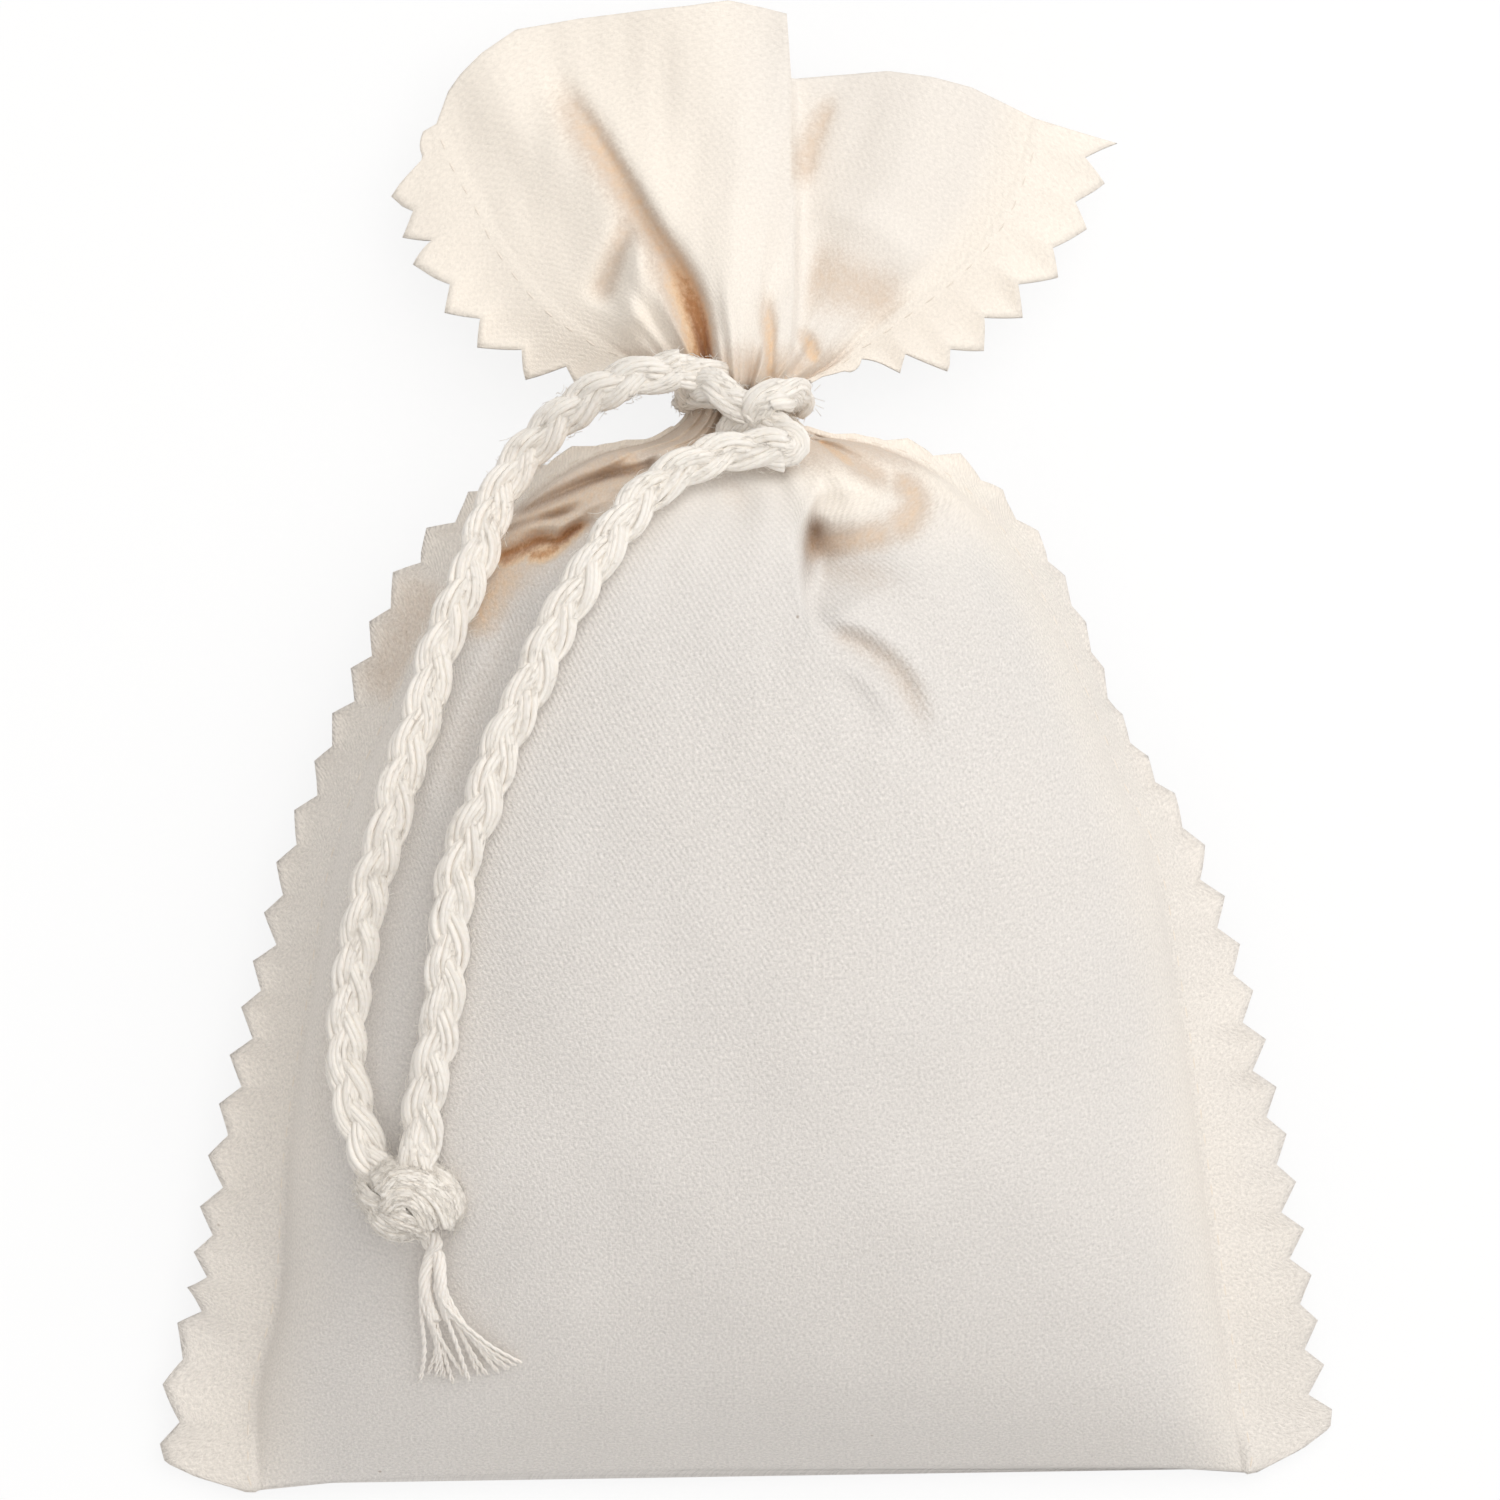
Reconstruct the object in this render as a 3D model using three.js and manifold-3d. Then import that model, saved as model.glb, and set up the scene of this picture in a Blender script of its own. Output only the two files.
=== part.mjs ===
// Lavender sachet: a cotton twill bag filled with dried flowers, tied at the neck with a plaited cord,
// lying on its back. Millimetres, +Z up, +Y from the bottom fold to the frill.
// The origin is on the surface that it lies on, under the middle of its outline.
import * as THREE from "three";
import { mergeVertices } from "three/addons/utils/BufferGeometryUtils.js";
import Module from "manifold-3d";

const wasm = await Module();
wasm.setup();

// The bag: its body from the bottom fold to the neck, the gathered neck, and the frill above it.
const seamWidth = 102; // between the two side seams at the bottom fold
const bodyLength = 104.3;
const bodyThickness = 36;
const foldPlace = -72.3; // Y of the bottom fold
const foldRise = 1.7; // how far the middle of the fold is drawn in
const neckWidth = 8.8;
const neckDepth = 13;
const neckLength = 5;
const neckHeight = 13; // of the neck's middle above the surface
const neckOffset = -0.95; // the neck sits a little left of the middle
const frillWidth = 55;
const frillLength = 32.4;
const frillGap = 2; // between the front and the back cloth at the mouth
const pleatHeight = 0.7;
const pleatCount = 5;

// The cloth, its side seams and their threads.
const clothThickness = 0.6;
const seamAllowance = 9;
const toothPitch = 4.9;
const frillPitchShare = 0.85; // the frill's teeth lie closer, because the frill leans
const toothDepth = 1.6;
const seamHeight = 2; // of the side seams' lower ends above the surface
const threadDiameter = 0.5;
const threadInset = 1; // from the seam line to the stitches on the front, out on the allowance
const neckThreadInset = 0.75; // the same where the gathered seam runs through the tie
const backThreadInset = 3.6; // the same on the back, clear of the body's side
const threadGap = 0.45; // over the rows of teeth, which the thread crosses
const pieceGap = 0.3; // between pieces that touch
const fillingGap = 0.7;
const knotGap = 0.6; // measured straight up, so that it stays open where the cloth slopes
const slotWidth = 5; // the way through the gathered neck
const slotDepth = 1.6;

// The cord, its knots and its tassel.
const cordDiameter = 4;
const wrapClearance = 1.4; // room beside the neck for the seams that run through the tie
const neckKnotWidth = 13;
const neckKnotLength = 8;
const neckKnotDepth = 5;
const endKnotWidth = 9.4;
const endKnotLength = 8;
const endKnotDepth = 6.6;
const strandDiameter = 2;
const yarnDiameter = 0.9;

// Columns across the cloth, rows of cloth to each row of the filling, and sides of the round pieces.
const clothColumns = 16;
const fillingRowStep = 4;
const cornerRows = 2; // rows at the rounded lower corners, where the seams aren't sewn
const cordSides = 8;
const threadSides = 4;
const yarnSides = 5;
const bightSteps = 14;
const turnSteps = 24;
const strandSteps = 4;
const yarnSteps = 6;
const liftSteps = 10;

// Side seams of the body: across in half seam widths, along in body lengths, height in body thicknesses.
const bodySeamShares = {
  left: [
    [-0.975, -0.0225, 0],
    [-0.969, 0.0714, 0.04],
    [-0.92, 0.167, 0.105],
    [-0.9, 0.311, 0.185],
    [-0.855, 0.455, 0.24],
    [-0.798, 0.608, 0.28],
    [-0.684, 0.743, 0.295],
    [-0.576, 0.848, 0.3],
    [-0.429, 0.934, 0.303],
    [-0.302, 0.974, 0.305],
    [-0.184, 0.99, 0.306],
  ],
  right: [
    [0.984, -0.005, 0],
    [0.955, 0.0714, 0.04],
    [0.924, 0.167, 0.105],
    [0.884, 0.311, 0.185],
    [0.841, 0.455, 0.24],
    [0.786, 0.599, 0.28],
    [0.727, 0.661, 0.29],
    [0.659, 0.743, 0.295],
    [0.58, 0.829, 0.3],
    [0.492, 0.901, 0.302],
    [0.39, 0.951, 0.304],
    [0.257, 0.983, 0.305],
    [0.149, 0.994, 0.306],
  ],
};

// Side seams of the frill: across in half frill widths, along in frill lengths, drop in neck heights.
const frillSeamShares = {
  left: [
    [-0.451, 0.08, 0.03],
    [-0.596, 0.154, 0.07],
    [-0.724, 0.235, 0.12],
    [-0.825, 0.333, 0.2],
    [-0.91, 0.438, 0.28],
    [-0.96, 0.53, 0.34],
    [-1.02, 0.62, 0.39],
    [-1.08, 0.71, 0.43],
    [-1.14, 0.8, 0.46],
  ],
  right: [
    [0.313, 0.05, 0.02],
    [0.422, 0.13, 0.05],
    [0.567, 0.221, 0.08],
    [0.713, 0.313, 0.12],
    [0.84, 0.421, 0.17],
    [0.931, 0.536, 0.22],
    [0.993, 0.668, 0.27],
    [1.04, 0.813, 0.31],
  ],
};

// Along the body from the fold to the neck: height of the front above the seams and of the back above the
// surface, both in body thicknesses, and how round the section is, from 0, a pillow, to 1, an ellipse.
const frontRiseShares = [
  [0, 0.02],
  [0.02, 0.17],
  [0.049, 0.31],
  [0.098, 0.44],
  [0.176, 0.56],
  [0.294, 0.65],
  [0.431, 0.69],
  [0.568, 0.675],
  [0.685, 0.62],
  [0.783, 0.53],
  [0.862, 0.4],
  [0.92, 0.27],
  [0.959, 0.2],
  [1, 0.18],
];
const backHeightShares = [
  [0, 0.033],
  [0.02, 0],
  [0.832, 0],
  [0.91, 0.03],
  [0.95, 0.1],
  [1, 0.18],
];
const roundnessShares = [
  [0, 0],
  [0.783, 0],
  [1, 1],
];

// The seam allowance along the body and along the frill: its tilt from level in degrees, and its reach.
const bodyTilt = {
  left: [
    [0, 3],
    [0.069, 5],
    [0.166, 12],
    [0.303, 38],
    [0.445, 50],
    [0.587, 60],
    [0.724, 54],
    [0.832, 50],
    [0.91, 35],
    [0.95, 20],
    [1, 0],
  ],
  right: [
    [0, 5],
    [0.069, 8],
    [0.166, 8],
    [0.303, 28],
    [0.445, 44],
    [0.568, 66],
    [0.646, 76],
    [0.832, 70],
    [0.91, 45],
    [0.95, 20],
    [1, 0],
  ],
};
const frillTilt = {
  left: [
    [0, 0],
    [0.2, 25],
    [0.5, 12],
    [1, 10],
  ],
  right: [
    [0, 0],
    [0.2, 35],
    [0.5, 35],
    [1, 30],
  ],
};
const bodyReachShares = [
  [0, 0.1],
  [0.012, 0.62],
  [0.024, 0.95],
  [0.039, 1],
  [0.783, 1],
  [0.862, 0.6],
  [0.91, 0.25],
  [0.95, 0.08],
  [1, 0.05],
];
const frillReachShares = {
  left: [
    [0, 0.05],
    [0.1, 0.1],
    [0.2, 0.5],
    [0.35, 0.95],
    [0.7, 1],
    [0.85, 0.6],
    [1, 0.15],
  ],
  right: [
    [0, 0.05],
    [0.1, 0.1],
    [0.2, 0.5],
    [0.35, 0.95],
    [1, 1],
  ],
};

// The mouth's edge across the frill: how far it stands above a straight line, in frill lengths.
const mouthShares = [
  [0, 0],
  [0.02, 0.1],
  [0.04, 0.15],
  [0.075, 0.213],
  [0.134, 0.287],
  [0.24, 0.318],
  [0.34, 0.337],
  [0.42, 0.35],
  [0.49, 0.367],
  [0.555, 0.343],
  [0.59, 0.318],
  [0.61, 0.127],
  [0.655, 0.136],
  [0.755, 0.148],
  [0.83, 0.127],
  [0.894, 0.096],
  [0.94, 0.055],
  [1, 0],
];

// Folds of the frill: where they run across the cloth at the neck, half way and at the mouth, how wide they
// are, and their height in frill lengths at those three places.
const frillFoldShares = [
  { places: [0.28, 0.38, 0.18], wide: 0.09, heights: [-0.03, -0.1, -0.04] },
  { places: [0.1, 0.2, 0.02], wide: 0.1, heights: [0, 0.05, 0.03] },
  { places: [0.55, 0.5, 0.4], wide: 0.12, heights: [0.02, 0.05, 0.04] },
  { places: [0.9, 0.8, 0.8], wide: 0.1, heights: [0, 0.04, 0.02] },
];
const creaseShares = { places: [0.95, 0.67, 0.6], wide: 0.02, height: 0.06 };
const frillArchShare = 0.22; // how high the middle of the mouth arches, in frill lengths

// Places along the body or the frill, from 0 to 1: where the fold stops being drawn in, where the pleats
// begin and fade, the stretch that the filling takes, and where the frill's front and back come together.
const foldDrawnShare = 0.12;
const pleatStartShare = 0.72;
const pleatFadeShare = 0.4;
const fillingShares = [0.06, 0.86];
const frillClosingShare = 0.5;
const foldFadeShare = 0.08; // of the width, at each side of the frill

// How square the sections are: the powers of the front's and the back's outline across the bag.
const frontFlatness = 2.5;
const frontSteepness = 1.8;
const backFlatness = 4;
const backSteepness = 1.2;
const foldFlatness = 4;
const backOverrunShare = 0.08; // the back's curve runs past the surface, so its middle lies flat

// The knots and the tassel, as shares of the cord's, the yarn's or the knot's sizes.
const turnOpeningAngle = 42; // degrees, each side of the top
const strandShare = 0.9; // of the cord's radius, for cord pulled tight in a knot
const turnShare = 0.8; // of the cord's radius, for cord pulled tight round the neck
const bights = [
  { turn: 0.5, lean: 0.35 },
  { turn: -0.6, lean: -0.5 },
  { turn: 1.5, lean: 1.1 },
];
const yarnRootShare = 0.7; // where the yarns part, along the strand

const neckFoot = foldPlace + bodyLength;
const neckTop = neckFoot + neckLength;

// A point of the cord, which is written along from the neck's top, so that the cord keeps to the neck.
function fromNeckTop([across, along, up]) {
  return [across, neckTop + along, up];
}

// Routes of the two cord tails, from the knot at the neck to the knot at their ends.
const leftTailRoute = [
  [-6.6, 0.6, 23.2],
  [-11.9, -0.3, 23],
  [-16.9, -2.8, 21.2],
  [-21.9, -7.3, 19],
  [-24.9, -11.8, 19.3],
  [-26.9, -17.8, 22.8],
  [-28.4, -21.8, 24.6],
  [-30.4, -26.8, 25.6],
  [-31.9, -32.8, 26.9],
  [-33.9, -38.9, 27.6],
  [-35.4, -44.9, 27.9],
  [-37.1, -49.9, 27.1],
  [-38.4, -55.9, 26.1],
  [-39.4, -61.9, 25.2],
  [-39.7, -66.9, 24.9],
  [-39, -71.6, 25.4],
  [-37.6, -76, 26.3],
  [-36.2, -78.6, 26.9],
].map(fromNeckTop);
const rightTailRoute = [
  [5.2, -7.6, 27.3],
  [-0.9, -7.4, 27.4],
  [-4.9, -8.6, 28.7],
  [-8.9, -10.8, 29.5],
  [-12.9, -15.3, 31.5],
  [-15.9, -19.8, 32.7],
  [-18.9, -24.8, 33.4],
  [-21.4, -30.8, 34],
  [-23.9, -35.8, 34.1],
  [-25.9, -41.9, 34.3],
  [-27.9, -46.9, 33.7],
  [-28.9, -51.9, 33.2],
  [-29.4, -56.9, 32.8],
  [-29.9, -61.9, 32.1],
  [-30.9, -66.9, 31],
  [-32, -71.9, 29.8],
  [-32.2, -76.5, 28.9],
].map(fromNeckTop);
const neckKnotPlace = fromNeckTop([-0.5, -3.4, 23]);
const endKnotPlace = fromNeckTop([-33.2, -81.6, 27.2]);

// The tassel: its two strands and the tips of its frayed yarns.
const strandRoutes = [
  [
    [-31.9, -86.3, 25.6],
    [-31.7, -89.2, 24.1],
    [-31.4, -92.9, 22.3],
  ],
  [
    [-30.1, -86.3, 26.1],
    [-29.9, -89.2, 24.8],
    [-29.7, -92.9, 23],
  ],
].map((route) => route.map(fromNeckTop));
const tasselHinge = fromNeckTop([-31, -86, 26]); // where the tassel bends up from the knot
const tasselLift = 75; // degrees
const yarnTips = [
  [-32.4, -100, 17.2],
  [-31, -99.7, 18.2],
  [-28.7, -100.3, 17.8],
  [-27.2, -100, 18.8],
  [-25.7, -99.5, 19.2],
  [-23.8, -99.1, 20.1],
  [-22, -98.2, 20.6],
].map(fromNeckTop);

const clothFinish = { color: 0xe9e2d8, roughness: 0.95, metalness: 0 };
const threadFinish = { color: 0xf2ebdf, roughness: 0.8, metalness: 0 };
const cordFinish = { color: 0xf0e8dc, roughness: 0.95, metalness: 0 };
const lavenderFinish = { color: 0x7a6f8e, roughness: 1, metalness: 0 };

const sides = ["left", "right"];
const cordRadius = cordDiameter / 2;
const threadRadius = threadDiameter / 2;
const allowanceHalf = clothThickness; // two layers of cloth, half on each side of the seam's plane

// A smooth value between the rows of a table of [place, value].
function between(table, place) {
  const next = table.findIndex((row) => row[0] >= place);
  if (next < 0) return table[table.length - 1][1];
  if (next === 0) return table[0][1];
  const [from, to] = [table[next - 1], table[next]];
  return THREE.MathUtils.lerp(from[1], to[1], (place - from[0]) / (to[0] - from[0]));
}

// A value given at the start, half way and at the end, blended smoothly.
function blendOfThree([start, half, end], place) {
  const s = 2 * place;
  return s < 1
    ? THREE.MathUtils.lerp(start, half, THREE.MathUtils.smoothstep(s, 0, 1))
    : THREE.MathUtils.lerp(half, end, THREE.MathUtils.smoothstep(s, 1, 2));
}

function neckSide(side, y) {
  const half = side === "left" ? -neckWidth / 2 : neckWidth / 2;
  return new THREE.Vector3(neckOffset + half, y, neckHeight);
}

function bodySeam(side) {
  const points = bodySeamShares[side].map(
    ([across, along, height]) =>
      new THREE.Vector3(
        (across * seamWidth) / 2,
        foldPlace + along * bodyLength,
        seamHeight + height * bodyThickness,
      ),
  );
  return new THREE.CatmullRomCurve3([...points, neckSide(side, neckFoot)], false, "centripetal");
}

function frillSeam(side) {
  const points = frillSeamShares[side].map(
    ([across, along, drop]) =>
      new THREE.Vector3(
        (across * frillWidth) / 2,
        neckTop + along * frillLength,
        (1 - drop) * neckHeight,
      ),
  );
  return new THREE.CatmullRomCurve3([neckSide(side, neckTop), ...points], false, "centripetal");
}

const bodySeams = { left: bodySeam("left"), right: bodySeam("right") };
const frillSeams = { left: frillSeam("left"), right: frillSeam("right") };

// One row of cloth for every half tooth: where its seams are, how far along its region it is, and the size
// and tilt of its allowances.
function clothRows() {
  const bodySteps = 2 * Math.round(bodySeams.left.getLength() / toothPitch);
  const neckSteps = 2;
  const frillSteps = 2 * Math.round(frillSeams.left.getLength() / (toothPitch * frillPitchShare));
  const rows = [];
  for (let i = 0; i <= bodySteps; i++) rows.push(rowOf("body", i / bodySteps));
  for (let i = 1; i <= neckSteps; i++) rows.push(rowOf("neck", i / neckSteps));
  for (let i = 1; i <= frillSteps; i++) rows.push(rowOf("frill", i / frillSteps));
  rows.forEach((row, i) => (row.tooth = i % 2));
  return rows;
}

function rowOf(region, place) {
  const row = { region, place, seam: {}, out: {}, reach: {}, tilt: {} };
  for (const side of sides) {
    const turn = side === "left" ? 1 : -1;
    let along = new THREE.Vector3(0, 1, 0);
    if (region === "neck") {
      row.seam[side] = neckSide(side, THREE.MathUtils.lerp(neckFoot, neckTop, place));
      row.reach[side] = between(bodyReachShares, 1);
      row.tilt[side] = between(bodyTilt[side], 1);
    } else {
      const curve = region === "body" ? bodySeams[side] : frillSeams[side];
      row.seam[side] = curve.getPointAt(place);
      along = curve.getTangentAt(place);
      row.reach[side] = between(region === "body" ? bodyReachShares : frillReachShares[side], place);
      row.tilt[side] = between(region === "body" ? bodyTilt[side] : frillTilt[side], place);
    }
    row.out[side] = new THREE.Vector3(-along.y * turn, along.x * turn, 0).normalize();
  }
  return row;
}

// How high the section stands at a place across it, from 0 at the seams to 1 in the middle.
function bulge(across, roundness, flatness = 2, steepness = 2) {
  const from = Math.min(1, Math.abs(2 * across - 1));
  const power = THREE.MathUtils.lerp(flatness, 2, roundness);
  const root = THREE.MathUtils.lerp(steepness, 2, roundness);
  return Math.pow(1 - Math.pow(from, power), 1 / root);
}

function pleat(row, across) {
  const strength =
    row.region === "body"
      ? THREE.MathUtils.smoothstep(row.place, pleatStartShare, 1)
      : row.region === "neck"
        ? 1
        : 1 - THREE.MathUtils.smoothstep(row.place, 0, pleatFadeShare);
  return pleatHeight * strength * Math.cos(2 * Math.PI * pleatCount * across) * bulge(across, 1);
}

function frillFold(place, across) {
  const faded = THREE.MathUtils.smoothstep(Math.min(across, 1 - across), 0, foldFadeShare);
  let height = 0;
  for (const fold of frillFoldShares) {
    const off = (across - blendOfThree(fold.places, place)) / fold.wide;
    height += blendOfThree(fold.heights, place) * Math.exp(-off * off);
  }
  const past = (across - blendOfThree(creaseShares.places, place)) / creaseShares.wide;
  height -= creaseShares.height * place * Math.tanh(past) * bulge(across, 1);
  return frillLength * height * faded;
}

// The cloth's front and back at a place across a row, moved inwards by an inset. The pleats of the outer
// faces are left to the caller.
function sectionOf(row, across, inset) {
  const { left, right } = row.seam;
  const width = right.x - left.x;
  const inner = inset > 0 ? 2 * inset : inset;
  const share = THREE.MathUtils.lerp(inner / width, 1 - inner / width, across);
  const at = new THREE.Vector3().lerpVectors(left, right, share);
  if (row.region === "body") {
    const drawnIn = 1 - THREE.MathUtils.smoothstep(row.place, 0, foldDrawnShare);
    at.y += foldRise * drawnIn * bulge(share, 1, foldFlatness);
    const roundness = between(roundnessShares, row.place);
    const rise = between(frontRiseShares, row.place) * bodyThickness - inset;
    const backZ = between(backHeightShares, row.place) * bodyThickness;
    const floor = backZ + inset;
    const drop = (at.z - backZ) * (1 + backOverrunShare) - inset;
    const front = at.z + Math.max(rise, 0) * bulge(across, roundness, frontFlatness, frontSteepness);
    const depth = Math.max(drop, 0) * bulge(across, roundness, backFlatness, backSteepness);
    const back = Math.max(floor, at.z - depth);
    return { at, front, back, middle: at.z };
  }
  const place = row.region === "neck" ? 0 : row.place;
  const opened = THREE.MathUtils.smoothstep(place, 0, frillClosingShare);
  const half =
    THREE.MathUtils.lerp(
      (neckDepth / 2) * bulge(across, 1),
      frillGap / 2 + clothThickness,
      opened,
    ) - inset;
  const drawn = 1 - (1 - place) ** 2;
  at.y += between(mouthShares, share) * frillLength * drawn;
  const arch = frillArchShare * frillLength * drawn * 4 * share * (1 - share);
  const middle = at.z + (row.region === "frill" ? arch + frillFold(place, share) : 0);
  return { at, front: middle + half, back: middle - half, middle };
}

function columnPlaces() {
  const places = [];
  for (let i = 0; i <= clothColumns; i++) {
    const even = i / clothColumns;
    places.push((even + (1 - Math.cos(Math.PI * even)) / 2) / 2);
  }
  return places;
}

// A closed mesh from rings of points with the same count, whose ends are closed with strips or fans.
class Skin {
  constructor() {
    this.points = [];
    this.faces = [];
  }

  ring(points) {
    const first = this.points.length;
    this.points.push(...points);
    return points.map((_, i) => first + i);
  }

  between(a, b) {
    for (let i = 0; i < a.length; i++) {
      const j = (i + 1) % a.length;
      this.faces.push([a[i], a[j], b[j]], [a[i], b[j], b[i]]);
    }
  }

  fill(loop) {
    for (let i = 1; i + 1 < loop.length; i++) this.faces.push([loop[0], loop[i], loop[i + 1]]);
  }

  strip(a, b) {
    for (let i = 0; i + 1 < a.length; i++) {
      if (a[i] !== b[i]) this.faces.push([a[i], a[i + 1], b[i]]);
      if (a[i + 1] !== b[i + 1]) this.faces.push([a[i + 1], b[i + 1], b[i]]);
    }
  }

  geometry() {
    const geometry = new THREE.BufferGeometry().setFromPoints(this.points);
    geometry.setIndex(this.faces.flat());
    return facingOut(geometry);
  }
}

function volumeOf(geometry) {
  const at = geometry.getAttribute("position");
  const [a, b, c] = [new THREE.Vector3(), new THREE.Vector3(), new THREE.Vector3()];
  let volume = 0;
  for (let i = 0; i < geometry.index.count; i += 3) {
    [a, b, c].forEach((corner, k) => corner.fromBufferAttribute(at, geometry.index.getX(i + k)));
    volume += a.dot(b.cross(c)) / 6;
  }
  return volume;
}

function facingOut(geometry) {
  if (volumeOf(geometry) < 0) {
    const index = geometry.index.array;
    for (let i = 0; i < index.length; i += 3) [index[i], index[i + 1]] = [index[i + 1], index[i]];
  }
  geometry.computeVertexNormals();
  return geometry;
}

// One row's outer ring: the front from left to right, the right allowance, the back, the left allowance.
function outerRing(row, places) {
  const front = [];
  const back = [];
  places.forEach((across, i) => {
    const { at, front: high, back: low, middle } = sectionOf(row, across, 0);
    const edge = i === 0 || i === places.length - 1;
    const lift = edge ? allowanceHalf : Math.max(high - middle + pleat(row, across), allowanceHalf);
    const sink = edge ? allowanceHalf : Math.max(middle - low + pleat(row, across), allowanceHalf);
    front.push(new THREE.Vector3(at.x, at.y, middle + lift));
    back.push(new THREE.Vector3(at.x, at.y, Math.max(middle - sink, 0)));
  });
  const [leftTip, rightTip] = sides.map((side) => allowanceTip(row, side));
  return {
    points: [
      ...front,
      rightTip.top,
      rightTip.bottom,
      ...back.reverse(),
      leftTip.bottom,
      leftTip.top,
    ],
    columns: places.length,
  };
}

function allowanceFrame(row, side) {
  const tilt = THREE.MathUtils.degToRad(row.tilt[side]);
  const out = row.out[side].clone().multiplyScalar(Math.cos(tilt));
  out.z = -Math.sin(tilt);
  const up = row.out[side].clone().multiplyScalar(Math.sin(tilt));
  up.z = Math.cos(tilt);
  return { out, up };
}

function allowanceTip(row, side) {
  const { out, up } = allowanceFrame(row, side);
  const width = (seamAllowance - row.tooth * toothDepth) * row.reach[side];
  const tip = row.seam[side].clone().addScaledVector(out, width);
  const top = tip.clone().addScaledVector(up, allowanceHalf);
  const bottom = tip.clone().addScaledVector(up, -allowanceHalf);
  return { top, bottom };
}

// The hollow inside the cloth: the bag's room, the way through the gathered neck, and the mouth's gap.
function innerPoint(row, across, place) {
  const room = sectionOf(row, across, clothThickness);
  const [, filled] = fillingShares;
  if (row.region === "body" && row.place < filled) return room;
  const closing = row.region === "body" ? THREE.MathUtils.smoothstep(row.place, filled, 1) : 1;
  const opening = row.region === "frill" ? THREE.MathUtils.smoothstep(row.place, 0, pleatFadeShare) : 0;
  const narrow = closing * (1 - opening);
  const slotX = (row.seam.left.x + row.seam.right.x) / 2 + (place - 1 / 2) * slotWidth;
  const slotHalf = (slotDepth / 2) * bulge(across, 1);
  const inBody = row.region === "body";
  const middle = inBody ? THREE.MathUtils.lerp(room.middle, neckHeight, closing) : room.middle;
  room.at.x = THREE.MathUtils.lerp(room.at.x, slotX, narrow);
  room.front = THREE.MathUtils.lerp(room.front, middle + slotHalf, narrow);
  room.back = THREE.MathUtils.lerp(room.back, middle - slotHalf, narrow);
  return room;
}

function innerRing(row, places) {
  const front = [];
  const back = [];
  places.forEach((across, i) => {
    const { at, front: high, back: low } = innerPoint(row, across, across);
    const edge = i === 0 || i === places.length - 1;
    const middle = (high + low) / 2;
    front.push(new THREE.Vector3(at.x, at.y, edge ? middle : high));
    if (!edge) back.push(new THREE.Vector3(at.x, at.y, low));
  });
  return { front, back };
}

function bagCloth(rows) {
  const places = columnPlaces();
  const count = places.length;
  const skin = new Skin();
  const outer = rows.map((row) => skin.ring(outerRing(row, places).points));
  for (let i = 0; i + 1 < outer.length; i++) skin.between(outer[i], outer[i + 1]);

  const insideRows = rows.filter((row, i) => i === rows.length - 1 || (i > 0 && i % 2 === 0));
  const inner = insideRows.map((row) => {
    const { front, back } = innerRing(row, places);
    return skin.ring([...front, ...back.reverse()]);
  });
  for (let i = 0; i + 1 < inner.length; i++) skin.between(inner[i + 1], inner[i]);

  // The bottom fold closes the outside and the inside.
  const first = outer[0];
  const low = first.slice(count + 2, 2 * count + 2).reverse();
  skin.strip(low, first.slice(0, count));
  skin.fill([first[count - 1], low[count - 1], first[count + 1], first[count]]);
  skin.fill([first[0], first[2 * count + 3], first[2 * count + 2], low[0]]);
  const room = inner[0];
  const under = [room[0], ...room.slice(count).reverse(), room[count - 1]];
  skin.strip(room.slice(0, count), under);

  // The mouth's rim joins the outside to the inside, round both layers and both allowances.
  const last = outer[outer.length - 1];
  const lastLow = last.slice(count + 2, 2 * count + 2).reverse();
  const gap = inner[inner.length - 1];
  const gapUnder = [gap[0], ...gap.slice(count).reverse(), gap[count - 1]];
  skin.strip(last.slice(0, count), gap.slice(0, count));
  skin.strip(gapUnder, lastLow);
  skin.fill([gap[count - 1], last[count - 1], last[count], last[count + 1], lastLow[count - 1]]);
  skin.fill([gap[0], lastLow[0], last[2 * count + 2], last[2 * count + 3], last[0]]);
  return skin.geometry();
}

// The flowers fill the bag's room up to where it narrows to the neck.
function lavenderFilling(rows) {
  const places = columnPlaces();
  const [from, to] = fillingShares;
  const body = rows.filter((row) => row.region === "body");
  const held = body.filter((row, i) => row.place > from && row.place < to && i % fillingRowStep === 0);
  const skin = new Skin();
  const rings = held.map((row) => {
    const front = [];
    const back = [];
    places.forEach((across, i) => {
      const { at, front: high, back: low } = sectionOf(row, across, clothThickness + fillingGap);
      const edge = i === 0 || i === places.length - 1;
      front.push(new THREE.Vector3(at.x, at.y, edge ? (high + low) / 2 : high));
      if (!edge) back.push(new THREE.Vector3(at.x, at.y, low));
    });
    return skin.ring([...front, ...back.reverse()]);
  });
  for (let i = 0; i + 1 < rings.length; i++) skin.between(rings[i], rings[i + 1]);
  const count = places.length;
  for (const [ring, turned] of [
    [rings[0], false],
    [rings[rings.length - 1], true],
  ]) {
    const high = ring.slice(0, count);
    const low = [ring[0], ...ring.slice(count).reverse(), ring[count - 1]];
    if (turned) skin.strip(high, low);
    else skin.strip(low, high);
  }
  return skin.geometry();
}

function polygon(radius, count) {
  const shape = new THREE.Shape();
  for (let i = 0; i < count; i++) {
    const turn = (2 * Math.PI * i) / count;
    const at = [radius * Math.cos(turn), radius * Math.sin(turn)];
    if (i) shape.lineTo(...at);
    else shape.moveTo(...at);
  }
  shape.closePath();
  return shape;
}

function tube(path, radius, count, steps) {
  const options = { steps, extrudePath: path, bevelEnabled: false };
  return new THREE.ExtrudeGeometry(polygon(radius, count), options);
}

function routeCurve(route) {
  return new THREE.CatmullRomCurve3(route.map((at) => new THREE.Vector3(...at)), false, "centripetal");
}

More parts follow.
